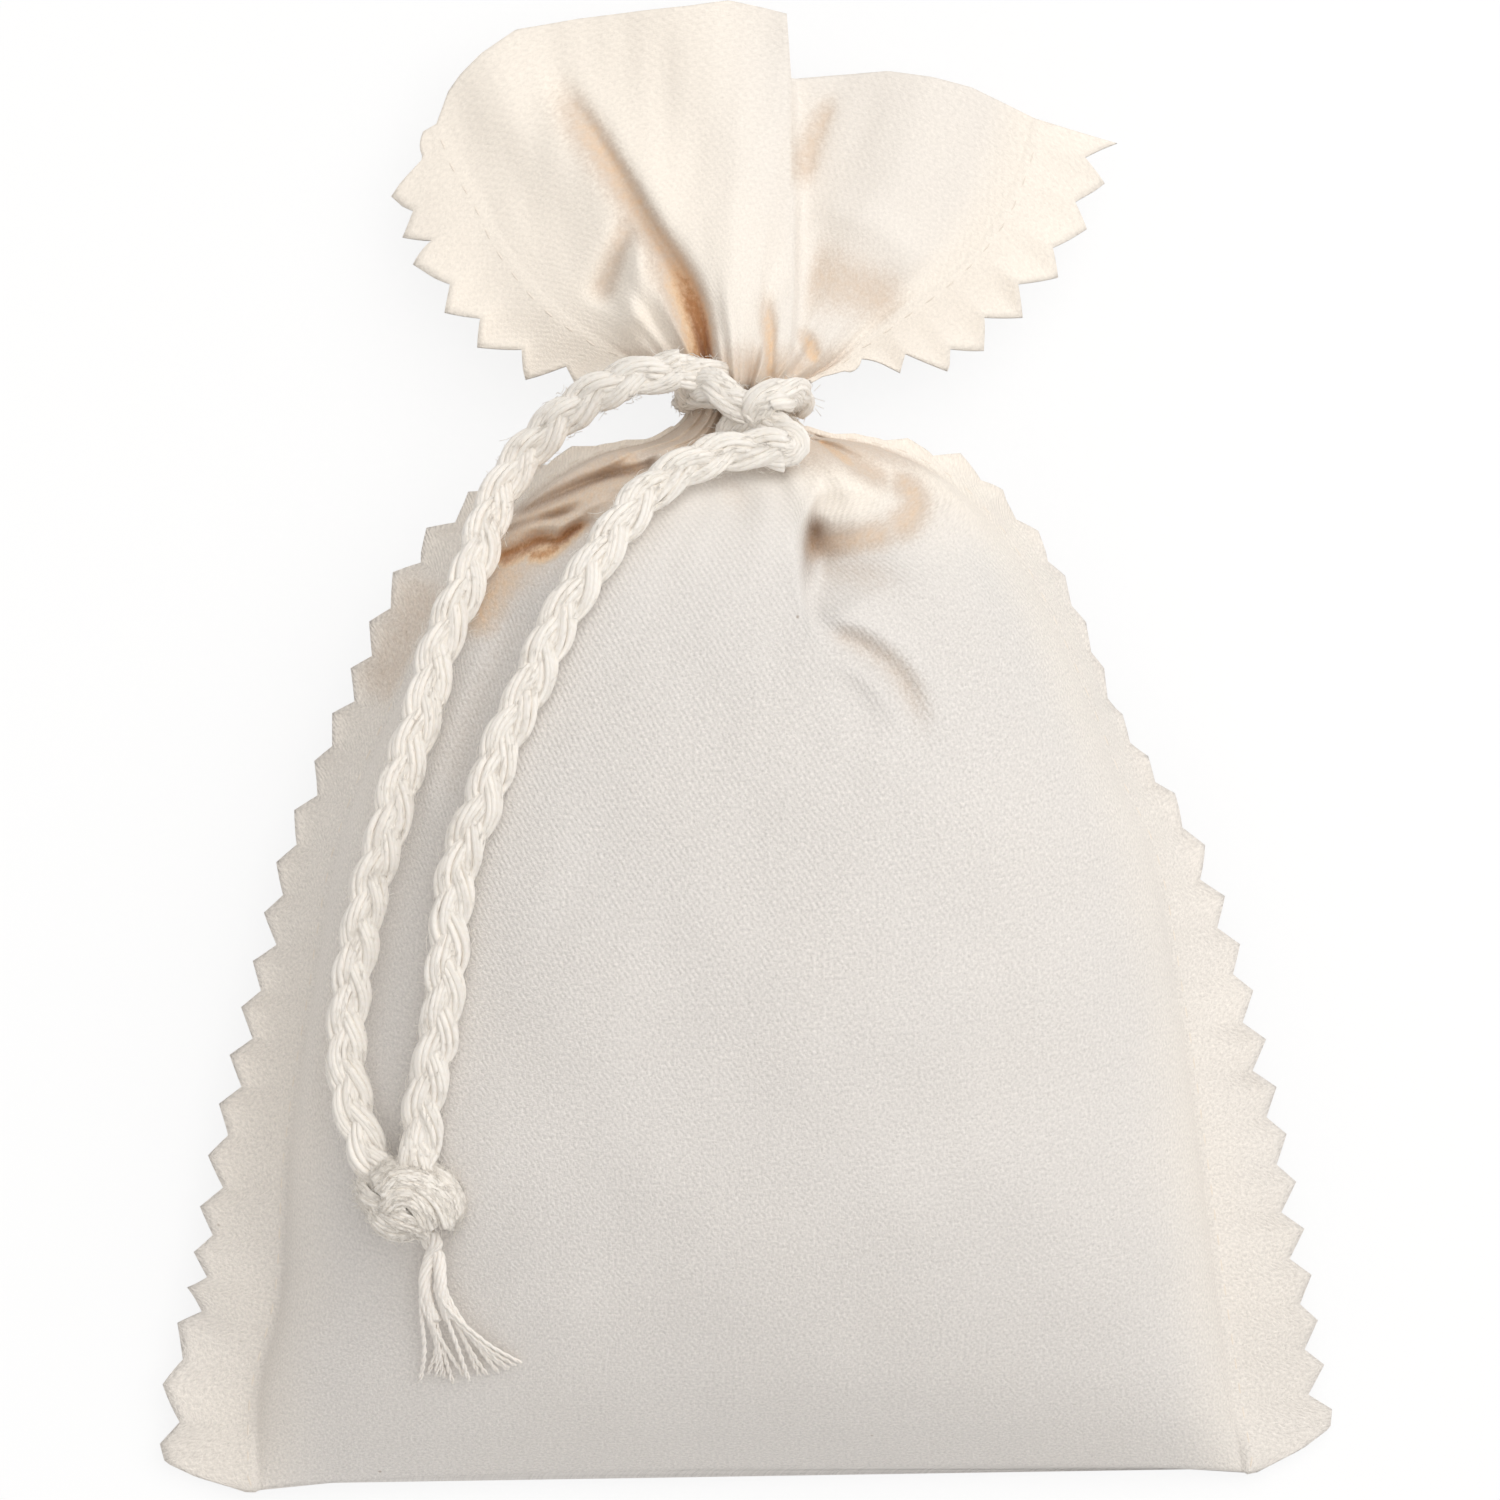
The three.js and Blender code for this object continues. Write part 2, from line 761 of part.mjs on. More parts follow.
function cordTube(curve, radius) {
  return tube(curve, radius, cordSides, Math.ceil(curve.getLength() / cordDiameter));
}

// A seam's thread: it follows the side seam from the bottom fold to the mouth, on the front or on the back.
function seamThread(rows, side, face) {
  const lift = face * (allowanceHalf + threadGap + threadRadius);
  const tight = between(bodyReachShares, 1);
  const points = rows.slice(cornerRows).map((row) => {
    const { out, up } = allowanceFrame(row, side);
    const spread = Math.sqrt(THREE.MathUtils.inverseLerp(tight, 1, row.reach[side]));
    const wide = face > 0 ? threadInset : backThreadInset;
    const inset = THREE.MathUtils.lerp(neckThreadInset, wide, spread);
    return row.seam[side].clone().addScaledVector(out, inset).addScaledVector(up, lift);
  });
  return tube(new THREE.CatmullRomCurve3(points), threadRadius, threadSides, points.length);
}

function solidOf(geometry) {
  const bare = geometry.clone();
  const spare = Object.keys(bare.attributes).filter((name) => name !== "position");
  for (const name of spare) bare.deleteAttribute(name);
  const merged = mergeVertices(bare, 1e-4);
  return new wasm.Manifold(
    new wasm.Mesh({
      numProp: 3,
      vertProperties: new Float32Array(merged.getAttribute("position").array),
      triVerts: new Uint32Array(merged.index.array),
    }),
  );
}

function geometryOf(solid) {
  const largest = solid.decompose().reduce((a, b) => (b.volume() > a.volume() ? b : a));
  const mesh = largest.getMesh();
  const geometry = new THREE.BufferGeometry();
  geometry.setAttribute("position", new THREE.BufferAttribute(new Float32Array(mesh.vertProperties), 3));
  geometry.setIndex([...mesh.triVerts]);
  geometry.computeVertexNormals();
  return geometry;
}

function lump(width, length, depth, place) {
  const ball = new THREE.SphereGeometry(0.5, 16, 10);
  return ball.scale(width, length, depth).translate(...place);
}

// The cord's turn round the neck, open on the front where the knot sits.
function neckTurn(gap) {
  const points = [];
  const radius = cordRadius * turnShare;
  const across = neckWidth / 2 + wrapClearance + radius;
  const deep = neckDepth / 2 + pleatHeight + pieceGap + radius;
  const open = THREE.MathUtils.degToRad(turnOpeningAngle) - gap / across;
  for (let i = 0; i <= turnSteps; i++) {
    const turn = open + ((2 * Math.PI - 2 * open) * i) / turnSteps;
    points.push(
      new THREE.Vector3(
        neckOffset + across * Math.sin(turn),
        neckTop - cordRadius - pieceGap,
        neckHeight + deep * Math.cos(turn),
      ),
    );
  }
  return tube(new THREE.CatmullRomCurve3(points), radius + gap, cordSides, turnSteps);
}

// The knot on the front of the neck: two strands that cross over a pulled-in middle.
function neckKnot(cutters) {
  const [x, y, z] = neckKnotPlace;
  const side = neckKnotWidth / 2;
  const half = neckKnotLength / 2;
  const crossing = [
    [
      [x - side, y + half, z - cordRadius],
      [x - side / 2, y + half / 2, z],
      [x, y, z + cordRadius / 4],
      [x + side / 2, y - half / 2, z],
      [x + side, y - half, z],
    ],
    [
      [x + side, y + half, z - cordRadius],
      [x + side / 2, y + half / 2, z],
      [x, y, z],
      [x - side / 2, y - half / 2, z - cordRadius / 2],
      [x - side, y - half / 2, z - cordRadius],
    ],
  ];
  let solid = solidOf(
    lump(neckKnotWidth - cordRadius, neckKnotLength, neckKnotDepth, neckKnotPlace),
  );
  for (const route of crossing) {
    solid = solid.add(solidOf(cordTube(routeCurve(route), cordRadius * strandShare)));
  }
  for (const cutter of cutters) solid = solid.subtract(cutter);
  return geometryOf(solid);
}

// The overhand knot that joins the tails: bights of cord laid round a pulled-in middle.
function endKnot(cutters) {
  const core = [endKnotWidth, endKnotLength, endKnotDepth].map((size) => size - cordRadius);
  let solid = solidOf(lump(...core, endKnotPlace));
  const middle = (endKnotLength - cordDiameter) / 2;
  for (const { turn, lean } of bights) {
    const ring = new THREE.TorusGeometry(middle, cordRadius * strandShare, cordSides, bightSteps);
    ring.scale(endKnotWidth / endKnotLength, 1, 1).rotateX(lean).rotateZ(turn);
    ring.translate(...endKnotPlace);
    solid = solid.add(solidOf(ring));
  }
  for (const cutter of cutters) solid = solid.subtract(cutter);
  return geometryOf(solid);
}

function tassel() {
  const strands = strandRoutes.map(routeCurve);
  let solid = null;
  for (const strand of strands) {
    const made = solidOf(tube(strand, strandDiameter / 2, cordSides, strandSteps));
    solid = solid ? solid.add(made) : made;
  }
  yarnTips.forEach((tip, i) => {
    const strand = strands[i < yarnTips.length / 2 ? 0 : 1];
    const [root, foot] = [strand.getPointAt(yarnRootShare), strand.getPointAt(1)];
    const end = new THREE.Vector3(...tip);
    const bend = foot.clone().lerp(end, 1 / 2).add(new THREE.Vector3(0, 0, yarnDiameter / 2));
    const curve = new THREE.CatmullRomCurve3([root, foot, bend, end]);
    solid = solid.add(solidOf(tube(curve, yarnDiameter / 2, yarnSides, yarnSteps)));
  });
  return geometryOf(solid);
}

// The room that the tassel's strands take as the tassel is lifted, a gap larger, that the knot is cut with.
function roomOfTassel() {
  const hinge = new THREE.Vector3(...tasselHinge);
  const swept = [];
  for (const route of strandRoutes) {
    const curve = routeCurve(route);
    const start = curve.getPointAt(0).addScaledVector(curve.getTangentAt(0), -pieceGap);
    const longer = routeCurve([start.toArray(), ...route]);
    for (let i = 0; i <= liftSteps; i++) {
      const strand = tube(longer, strandDiameter / 2 + pieceGap, cordSides, strandSteps);
      strand.translate(...hinge.clone().negate());
      strand.rotateX(-THREE.MathUtils.degToRad((tasselLift * i) / liftSteps));
      strand.translate(...hinge);
      swept.push(solidOf(strand));
    }
  }
  return swept;
}

// The bag's outside with nothing but its front and back, a gap larger, that the knots are cut with.
function clearanceOfCloth(rows) {
  const places = columnPlaces();
  const skin = new Skin();
  const rings = rows.map((row) => {
    const front = [];
    const back = [];
    for (const across of places) {
      const { at, front: high, back: low, middle } = sectionOf(row, across, 0);
      const lift = Math.max(high - middle + pleat(row, across), allowanceHalf) + knotGap;
      front.push(new THREE.Vector3(at.x, at.y, middle + lift));
      back.push(new THREE.Vector3(at.x, at.y, low - knotGap));
    }
    return skin.ring([...front, ...back.reverse()]);
  });
  for (let i = 0; i + 1 < rings.length; i++) skin.between(rings[i], rings[i + 1]);
  skin.fill([...rings[0]].reverse());
  skin.fill(rings[rings.length - 1]);
  return solidOf(skin.geometry());
}

function clearanceOfCord(route) {
  const curve = routeCurve(route);
  const back = curve.getTangentAt(0).multiplyScalar(-pieceGap);
  const forward = curve.getTangentAt(1).multiplyScalar(pieceGap);
  const first = curve.getPointAt(0).add(back);
  const last = curve.getPointAt(1).add(forward);
  const longer = routeCurve([first.toArray(), ...route, last.toArray()]);
  return solidOf(cordTube(longer, cordRadius + pieceGap));
}

function mesh(name, geometry, finish) {
  const made = new THREE.Mesh(geometry, new THREE.MeshStandardMaterial(finish));
  made.name = name;
  return made;
}

function buildSachet() {
  const rows = clothRows();
  const sachet = new THREE.Group();
  sachet.add(mesh("bag_cloth", bagCloth(rows), clothFinish));
  sachet.add(mesh("lavender_filling", lavenderFilling(rows), lavenderFinish));
  for (const side of sides) {
    sachet.add(mesh(`${side}_seam_needle_thread`, seamThread(rows, side, 1), threadFinish));
    sachet.add(mesh(`${side}_seam_bobbin_thread`, seamThread(rows, side, -1), threadFinish));
  }

  const cloth = clearanceOfCloth(rows);
  const tails = [clearanceOfCord(leftTailRoute), clearanceOfCord(rightTailRoute)];
  const turn = solidOf(neckTurn(pieceGap));
  sachet.add(mesh("cord_neck_turn", neckTurn(0), cordFinish));
  sachet.add(mesh("neck_knot", neckKnot([cloth, turn, ...tails]), cordFinish));
  sachet.add(mesh("cord_tail_left", cordTube(routeCurve(leftTailRoute), cordRadius), cordFinish));
  sachet.add(mesh("cord_tail_right", cordTube(routeCurve(rightTailRoute), cordRadius), cordFinish));
  sachet.add(mesh("end_knot", endKnot([cloth, ...tails, ...roomOfTassel()]), cordFinish));
  sachet.add(mesh("tassel", tassel(), cordFinish));
  return sachet;
}

export default buildSachet();
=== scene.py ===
"""Lavender sachet: a filled cotton twill bag, gathered at the neck by a plaited cord, lying on its back.

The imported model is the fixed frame. Every sub-assembly is a class whose sizes are fields in millimetres, and
whose methods build its meshes in metres, in the frame's own axes: +Y from the bottom fold to the frill, +Z up.
"""

import logging
import math
from dataclasses import dataclass
from enum import Enum
from typing import Callable, Iterable, Sequence, Union

import bpy
import numpy as np
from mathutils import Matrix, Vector


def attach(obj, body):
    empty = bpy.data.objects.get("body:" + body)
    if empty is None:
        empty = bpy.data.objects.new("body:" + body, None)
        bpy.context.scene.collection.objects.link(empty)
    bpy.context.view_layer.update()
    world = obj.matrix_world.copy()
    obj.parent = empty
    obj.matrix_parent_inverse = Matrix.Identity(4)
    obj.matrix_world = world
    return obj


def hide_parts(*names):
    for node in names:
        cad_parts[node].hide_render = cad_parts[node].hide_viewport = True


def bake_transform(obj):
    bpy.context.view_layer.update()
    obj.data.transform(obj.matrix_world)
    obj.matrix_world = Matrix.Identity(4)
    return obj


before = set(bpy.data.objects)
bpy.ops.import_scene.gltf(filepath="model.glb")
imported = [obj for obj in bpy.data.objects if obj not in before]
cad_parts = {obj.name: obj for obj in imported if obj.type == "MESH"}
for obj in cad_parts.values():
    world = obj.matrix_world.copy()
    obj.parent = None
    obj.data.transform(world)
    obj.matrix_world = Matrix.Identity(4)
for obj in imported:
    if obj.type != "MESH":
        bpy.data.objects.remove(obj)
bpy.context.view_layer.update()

MM = 0.001
BAG = "bag"
LOOP = "cord_loop"
TASSEL = "tassel"
TURN = 2 * math.pi
log = logging.getLogger("sachet")

Point = tuple[float, float, float]
Table = Sequence[tuple[float, float]]
Tube = tuple[np.ndarray, np.ndarray, np.ndarray]


class Side(Enum):
    """The two side seams, seen from the front of the bag."""

    LEFT = "left"
    RIGHT = "right"


class Layer(Enum):
    """The two faces of the flat bag."""

    FRONT = 1
    BACK = -1


def smoothstep(value: np.ndarray, start: float, end: float) -> np.ndarray:
    """A smooth ramp from 0 at start to 1 at end."""
    t = np.clip((np.asarray(value, dtype=float) - start) / (end - start), 0.0, 1.0)
    return t * t * (3.0 - 2.0 * t)


def between(table: Table, place: np.ndarray) -> np.ndarray:
    """A value read from a table of (place, value), straight between its rows."""
    rows = np.array(table, dtype=float)
    return np.interp(place, rows[:, 0], rows[:, 1])


def eased(table: Table, place: np.ndarray) -> np.ndarray:
    """A value read from a table of (place, value) along a smooth curve.

    Args:
        table: Rows of (place, value), with rising places.
        place: Where the value is wanted.

    Returns:
        The values, on a curve that passes each row without running past it.
    """
    rows = np.array(table, dtype=float)
    x, y = rows[:, 0], rows[:, 1]
    steps = np.diff(y) / np.diff(x)
    slope = np.zeros(len(x))
    slope[1:-1] = np.where(steps[:-1] * steps[1:] > 0, 2 * steps[:-1] * steps[1:] / (steps[:-1] + steps[1:] + 1e-12), 0)
    slope[0], slope[-1] = steps[0], steps[-1]
    place = np.clip(place, x[0], x[-1])
    i = np.clip(np.searchsorted(x, place) - 1, 0, len(x) - 2)
    h = x[i + 1] - x[i]
    t = (place - x[i]) / h
    a, b = (1 + 2 * t) * (1 - t) ** 2, t * (1 - t) ** 2
    c, d = t * t * (3 - 2 * t), t * t * (t - 1)
    return a * y[i] + b * h * slope[i] + c * y[i + 1] + d * h * slope[i + 1]


def run_along(line: np.ndarray) -> np.ndarray:
    """How far along a line of points each of them lies."""
    return np.concatenate([[0.0], np.cumsum(np.linalg.norm(np.diff(line, axis=0), axis=1))])


class Route:
    """A smooth curve through points, read by its share of the length."""

    def __init__(self, points: Iterable[Sequence[float]], steps: int = 40) -> None:
        """Samples a centripetal curve through the points.

        Args:
            points: What the curve passes, in millimetres.
            steps: How many samples each stretch between two points gets.
        """
        p = np.array(list(points), dtype=float)
        ends = np.vstack([2 * p[0] - p[1], p, 2 * p[-1] - p[-2]])
        parts = []
        for a, b, c, d in zip(ends, ends[1:], ends[2:], ends[3:]):
            parts.append(self._stretch(a, b, c, d, steps))
        self.line = np.vstack([*parts, p[-1:]])
        self.run = run_along(self.line)

    @staticmethod
    def _stretch(a: np.ndarray, b: np.ndarray, c: np.ndarray, d: np.ndarray, steps: int) -> np.ndarray:
        """The samples from b up to, but without, c.

        Args:
            a: The point before.
            b: Where the stretch starts.
            c: Where it ends.
            d: The point after.
            steps: How many samples.

        Returns:
            The samples, one in each row.
        """
        first, middle, last = (max(np.linalg.norm(q - p) ** 0.5, 1e-6) for p, q in ((a, b), (b, c), (c, d)))
        leave = ((b - a) / first - (c - a) / (first + middle) + (c - b) / middle) * middle
        reach = ((c - b) / middle - (d - b) / (middle + last) + (d - c) / last) * middle
        t = np.linspace(0, 1, steps, endpoint=False)[:, None]
        square, cube = t * t, t * t * t
        return (
            (2 * cube - 3 * square + 1) * b
            + (cube - 2 * square + t) * leave
            + (3 * square - 2 * cube) * c
            + (cube - square) * reach
        )

    @property
    def length(self) -> float:
        """The curve's length in millimetres."""
        return float(self.run[-1])

    def at(self, share: np.ndarray) -> np.ndarray:
        """The points at these shares of the length."""
        where = np.asarray(share) * self.length
        return np.stack([np.interp(where, self.run, self.line[:, k]) for k in range(self.line.shape[1])], axis=-1)

    def along(self, share: np.ndarray) -> np.ndarray:
        """The unit directions at these shares of the length."""
        step = 0.004
        ahead = self.at(np.minimum(np.asarray(share) + step, 1)) - self.at(np.maximum(np.asarray(share) - step, 0))
        return ahead / np.linalg.norm(ahead, axis=-1, keepdims=True)


class Unevenness:
    """A smooth, seeded unevenness over two coordinates, made of sines in many directions."""

    def __init__(self, seed: int, scale: float, waves: int = 18) -> None:
        """Draws the waves.

        Args:
            seed: Which unevenness this is.
            scale: The usual distance from bump to bump, in millimetres.
            waves: How many sines are added.
        """
        draw = np.random.default_rng(seed)
        turn = draw.uniform(0, TURN, waves)
        pitch = scale * draw.uniform(0.6, 1.8, waves)
        self.direction = np.stack([np.cos(turn), np.sin(turn)]) * TURN / pitch
        self.phase = draw.uniform(0, TURN, waves)

    def at(self, u: np.ndarray, v: np.ndarray) -> np.ndarray:
        """The unevenness at (u, v), mostly from -1 to 1."""
        total = np.zeros(np.broadcast(u, v).shape)
        for (a, b), phase in zip(self.direction.T, self.phase):
            total += np.sin(a * u + b * v + phase)
        return total / math.sqrt(len(self.phase))


def mesh_piece(name: str, points: np.ndarray, faces: Sequence[Sequence[int]], smooth: bool = True) -> bpy.types.Object:
    """A new object from points in millimetres.

    Args:
        name: The piece's name.
        points: Its vertices, one row each.
        faces: Its faces, as lists of vertex numbers.
        smooth: Whether its faces are shaded smoothly.

    Returns:
        The linked object, at the origin.
    """
    mesh = bpy.data.meshes.new(name)
    mesh.from_pydata((np.asarray(points) * MM).tolist(), [], [list(map(int, f)) for f in faces])
    mesh.validate()
    if smooth:
        mesh.shade_smooth()
    piece = bpy.data.objects.new(name, mesh)
    bpy.context.scene.collection.objects.link(piece)
    return piece


def note_on_mesh(piece: bpy.types.Object, name: str, values: np.ndarray) -> None:
    """Stores a vector or a number for every vertex, for the finish to read."""
    values = np.asarray(values, dtype=np.float32)
    kind = "FLOAT_VECTOR" if values.ndim == 2 else "FLOAT"
    attribute = piece.data.attributes.new(name, kind, "POINT")
    attribute.data.foreach_set("vector" if values.ndim == 2 else "value", values.ravel())


def join(piece: bpy.types.Object, body: str, node: str) -> None:
    """Makes a piece ride on a body and stand for a CAD node."""
    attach(piece, body)
    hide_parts(node)


def grid_faces(rows: int, columns: int, first: int = 0, closed: bool = False) -> np.ndarray:
    """The quads between rows of points that are numbered one after the other.

    Args:
        rows: The number of rows.
        columns: The points in each.
        first: The first point's number.
        closed: Whether each row is a ring.

    Returns:
        Four point numbers for each quad.
    """
    wide = columns if closed else columns - 1
    i, j = np.meshgrid(np.arange(rows - 1), np.arange(wide), indexing="ij")
    k = (j + 1) % columns
    low, high = first + i * columns, first + (i + 1) * columns
    return np.stack([low + j, low + k, high + k, high + j], -1).reshape(-1, 4)


def capped_faces(rings: int, sides: int) -> np.ndarray:
    """The faces of a closed tube of rings, whose two end points are numbered after them, as quads.

    Args:
        rings: How many rings.
        sides: How many points in each.

    Returns:
        Four point numbers for each face, two of them alike at the ends.
    """
    tail, last = rings * sides, (rings - 1) * sides
    caps = []
    for k in range(sides):
        n = (k + 1) % sides
        caps.append([n, k, tail, tail])
        caps.append([last + k, last + n, tail + 1, tail + 1])
    return np.vstack([grid_faces(rings, sides, closed=True), caps])


class Signal:
    """A socket in a material that can be added to, multiplied and so on; each sum adds its Math node."""

    def __init__(self, paint: "Paint", socket: bpy.types.NodeSocket) -> None:
        """Wraps a socket of a material that is being written."""
        self.paint = paint
        self.socket = socket

    def _math(self, operation: str, *values: "Number") -> "Signal":
        """One Math node on these values."""
        return self.paint.node("ShaderNodeMath", {"operation": operation}, *values)

    @staticmethod
    def _operator(operation: str, reflected: bool = False) -> Callable[["Signal", "Number"], "Signal"]:
        """The method of an operator that adds this Math node, with self on the right where it is reflected."""
        if reflected:
            return lambda self, other: self._math(operation, other, self)
        return lambda self, other: self._math(operation, self, other)

    __add__, __radd__ = _operator("ADD"), _operator("ADD", reflected=True)
    __sub__, __rsub__ = _operator("SUBTRACT"), _operator("SUBTRACT", reflected=True)
    __mul__, __rmul__ = _operator("MULTIPLY"), _operator("MULTIPLY", reflected=True)
    __truediv__, __pow__ = _operator("DIVIDE"), _operator("POWER")

    def sine(self) -> "Signal":
        """The sine of self."""
        return self._math("SINE", self)

    def floor(self) -> "Signal":
        """The whole part of self."""
        return self._math("FLOOR", self)

    def over(self, limit: "Number") -> "Signal":
        """1 where self is greater than the limit."""
        return self._math("GREATER_THAN", self, limit)

    def ramp(self, low: float, high: float) -> "Signal":
        """self from low to high, as a smooth 0 to 1."""
        settings = {"interpolation_type": "SMOOTHSTEP"}
        return self.paint.node("ShaderNodeMapRange", settings, self, low, high, 0.0, 1.0)


Number = Union[Signal, float, int, tuple]


class Paint:
    """A material being written: one Principled shader, and the nodes that feed it."""

    def __init__(self, name: str) -> None:
        """Starts an empty material.

        Args:
            name: The material's name.
        """
        self.material = bpy.data.materials.new(name)
        self.material.use_nodes = True
        self.nodes = self.material.node_tree.nodes
        self.links = self.material.node_tree.links
        self.shader = next(n for n in self.nodes if n.bl_idname == "ShaderNodeBsdfPrincipled")

    def node(
        self, kind: str, settings: dict | None = None, *values: Number, out: Union[int, str] = 0, **named: Number
    ) -> Signal:
        """Adds a node.

        Args:
            kind: The node's type.
            settings: Its properties, set before its sockets.
            values: Its sockets' values or links, in order.
            out: Which output is wanted.
            named: Sockets by name, with spaces as underscores.

        Returns:
            The wanted output.
        """
        made = self.nodes.new(kind)
        for key, value in (settings or {}).items():
            setattr(made, key, value)
        for i, value in enumerate(values):
            self._feed(made.inputs[i], value)
        for key, value in named.items():
            self._feed(made.inputs[key.replace("_", " ")], value)
        return Signal(self, made.outputs[out])

    def _feed(self, socket: bpy.types.NodeSocket, value: Number) -> None:
        """Links a signal to a socket, or sets its value.

        Args:
            socket: The node's socket.
            value: A signal, a number or a colour.
        """
        if isinstance(value, Signal):
            self.links.new(value.socket, socket)
        elif isinstance(value, tuple) and len(value) == 3 and socket.type == "RGBA":
            socket.default_value = (*value, 1.0)
        else:
            socket.default_value = value

    def mix(self, share: Number, a: Number, b: Number, blend: str = "MIX") -> Signal:
        """Colour a turned into colour b by share.

        Args:
            share: How much of b, from 0 to 1.
            a: The colour at 0.
            b: The colour at 1.
            blend: The way of blending.

        Returns:
            The blended colour.
        """
        made = self.nodes.new("ShaderNodeMix")
        made.data_type = "RGBA"
        made.blend_type = blend
        for index, value in ((0, share), (6, a), (7, b)):
            self._feed(made.inputs[index], value)
        return Signal(self, made.outputs[2])

    def attribute(self, name: str, out: str = "Fac") -> Signal:
        """What a mesh stores under this name."""
        return self.node("ShaderNodeAttribute", {"attribute_name": name}, out=out)

    def apart(self, vector: Signal) -> tuple[Signal, Signal, Signal]:
        """The three numbers of a vector."""
        first = self.node("ShaderNodeSeparateXYZ", None, vector)
        outputs = first.socket.node.outputs
        return tuple(Signal(self, outputs[k]) for k in range(3))

    def together(self, x: Number, y: Number, z: Number) -> Signal:
        """A vector from three numbers."""
        return self.node("ShaderNodeCombineXYZ", None, x, y, z)

    def noise(self, vector: Signal, scale: float, detail: float = 2.0, rough: float = 0.5) -> Signal:
        """Smooth noise from 0 to 1."""
        return self.node("ShaderNodeTexNoise", None, Vector=vector, Scale=scale, Detail=detail, Roughness=rough)

    def bump(self, height: Signal, depth: float) -> Signal:
        """A normal from a height of about 0 to 1, where 1 stands for this depth in millimetres."""
        return self.node("ShaderNodeBump", None, Strength=1.0, Distance=depth * MM, Height=height)

    def finish(
        self, colour: Number, roughness: Number, normal: Signal | None = None, **constants: float
    ) -> bpy.types.Material:
        """Feeds the shader and returns the material.

        Args:
            colour: The base colour.
            roughness: The roughness.
            normal: The bent normal.
            constants: Other sockets that are the same all over, by name.

        Returns:
            The finished material.
        """
        self._feed(self.shader.inputs["Base Color"], colour)
        self._feed(self.shader.inputs["Roughness"], roughness)
        if normal is not None:
            self._feed(self.shader.inputs["Normal"], normal)
        for key, value in constants.items():
            self._feed(self.shader.inputs[key.replace("_", " ")], value)
        return self.material


def linear(*srgb: int) -> tuple[float, float, float]:
    """A colour written as 0 to 255, as the shader needs it."""
    parts = [c / 255 for c in srgb]
    return tuple(c / 12.92 if c <= 0.04045 else ((c + 0.055) / 1.055) ** 2.4 for c in parts)


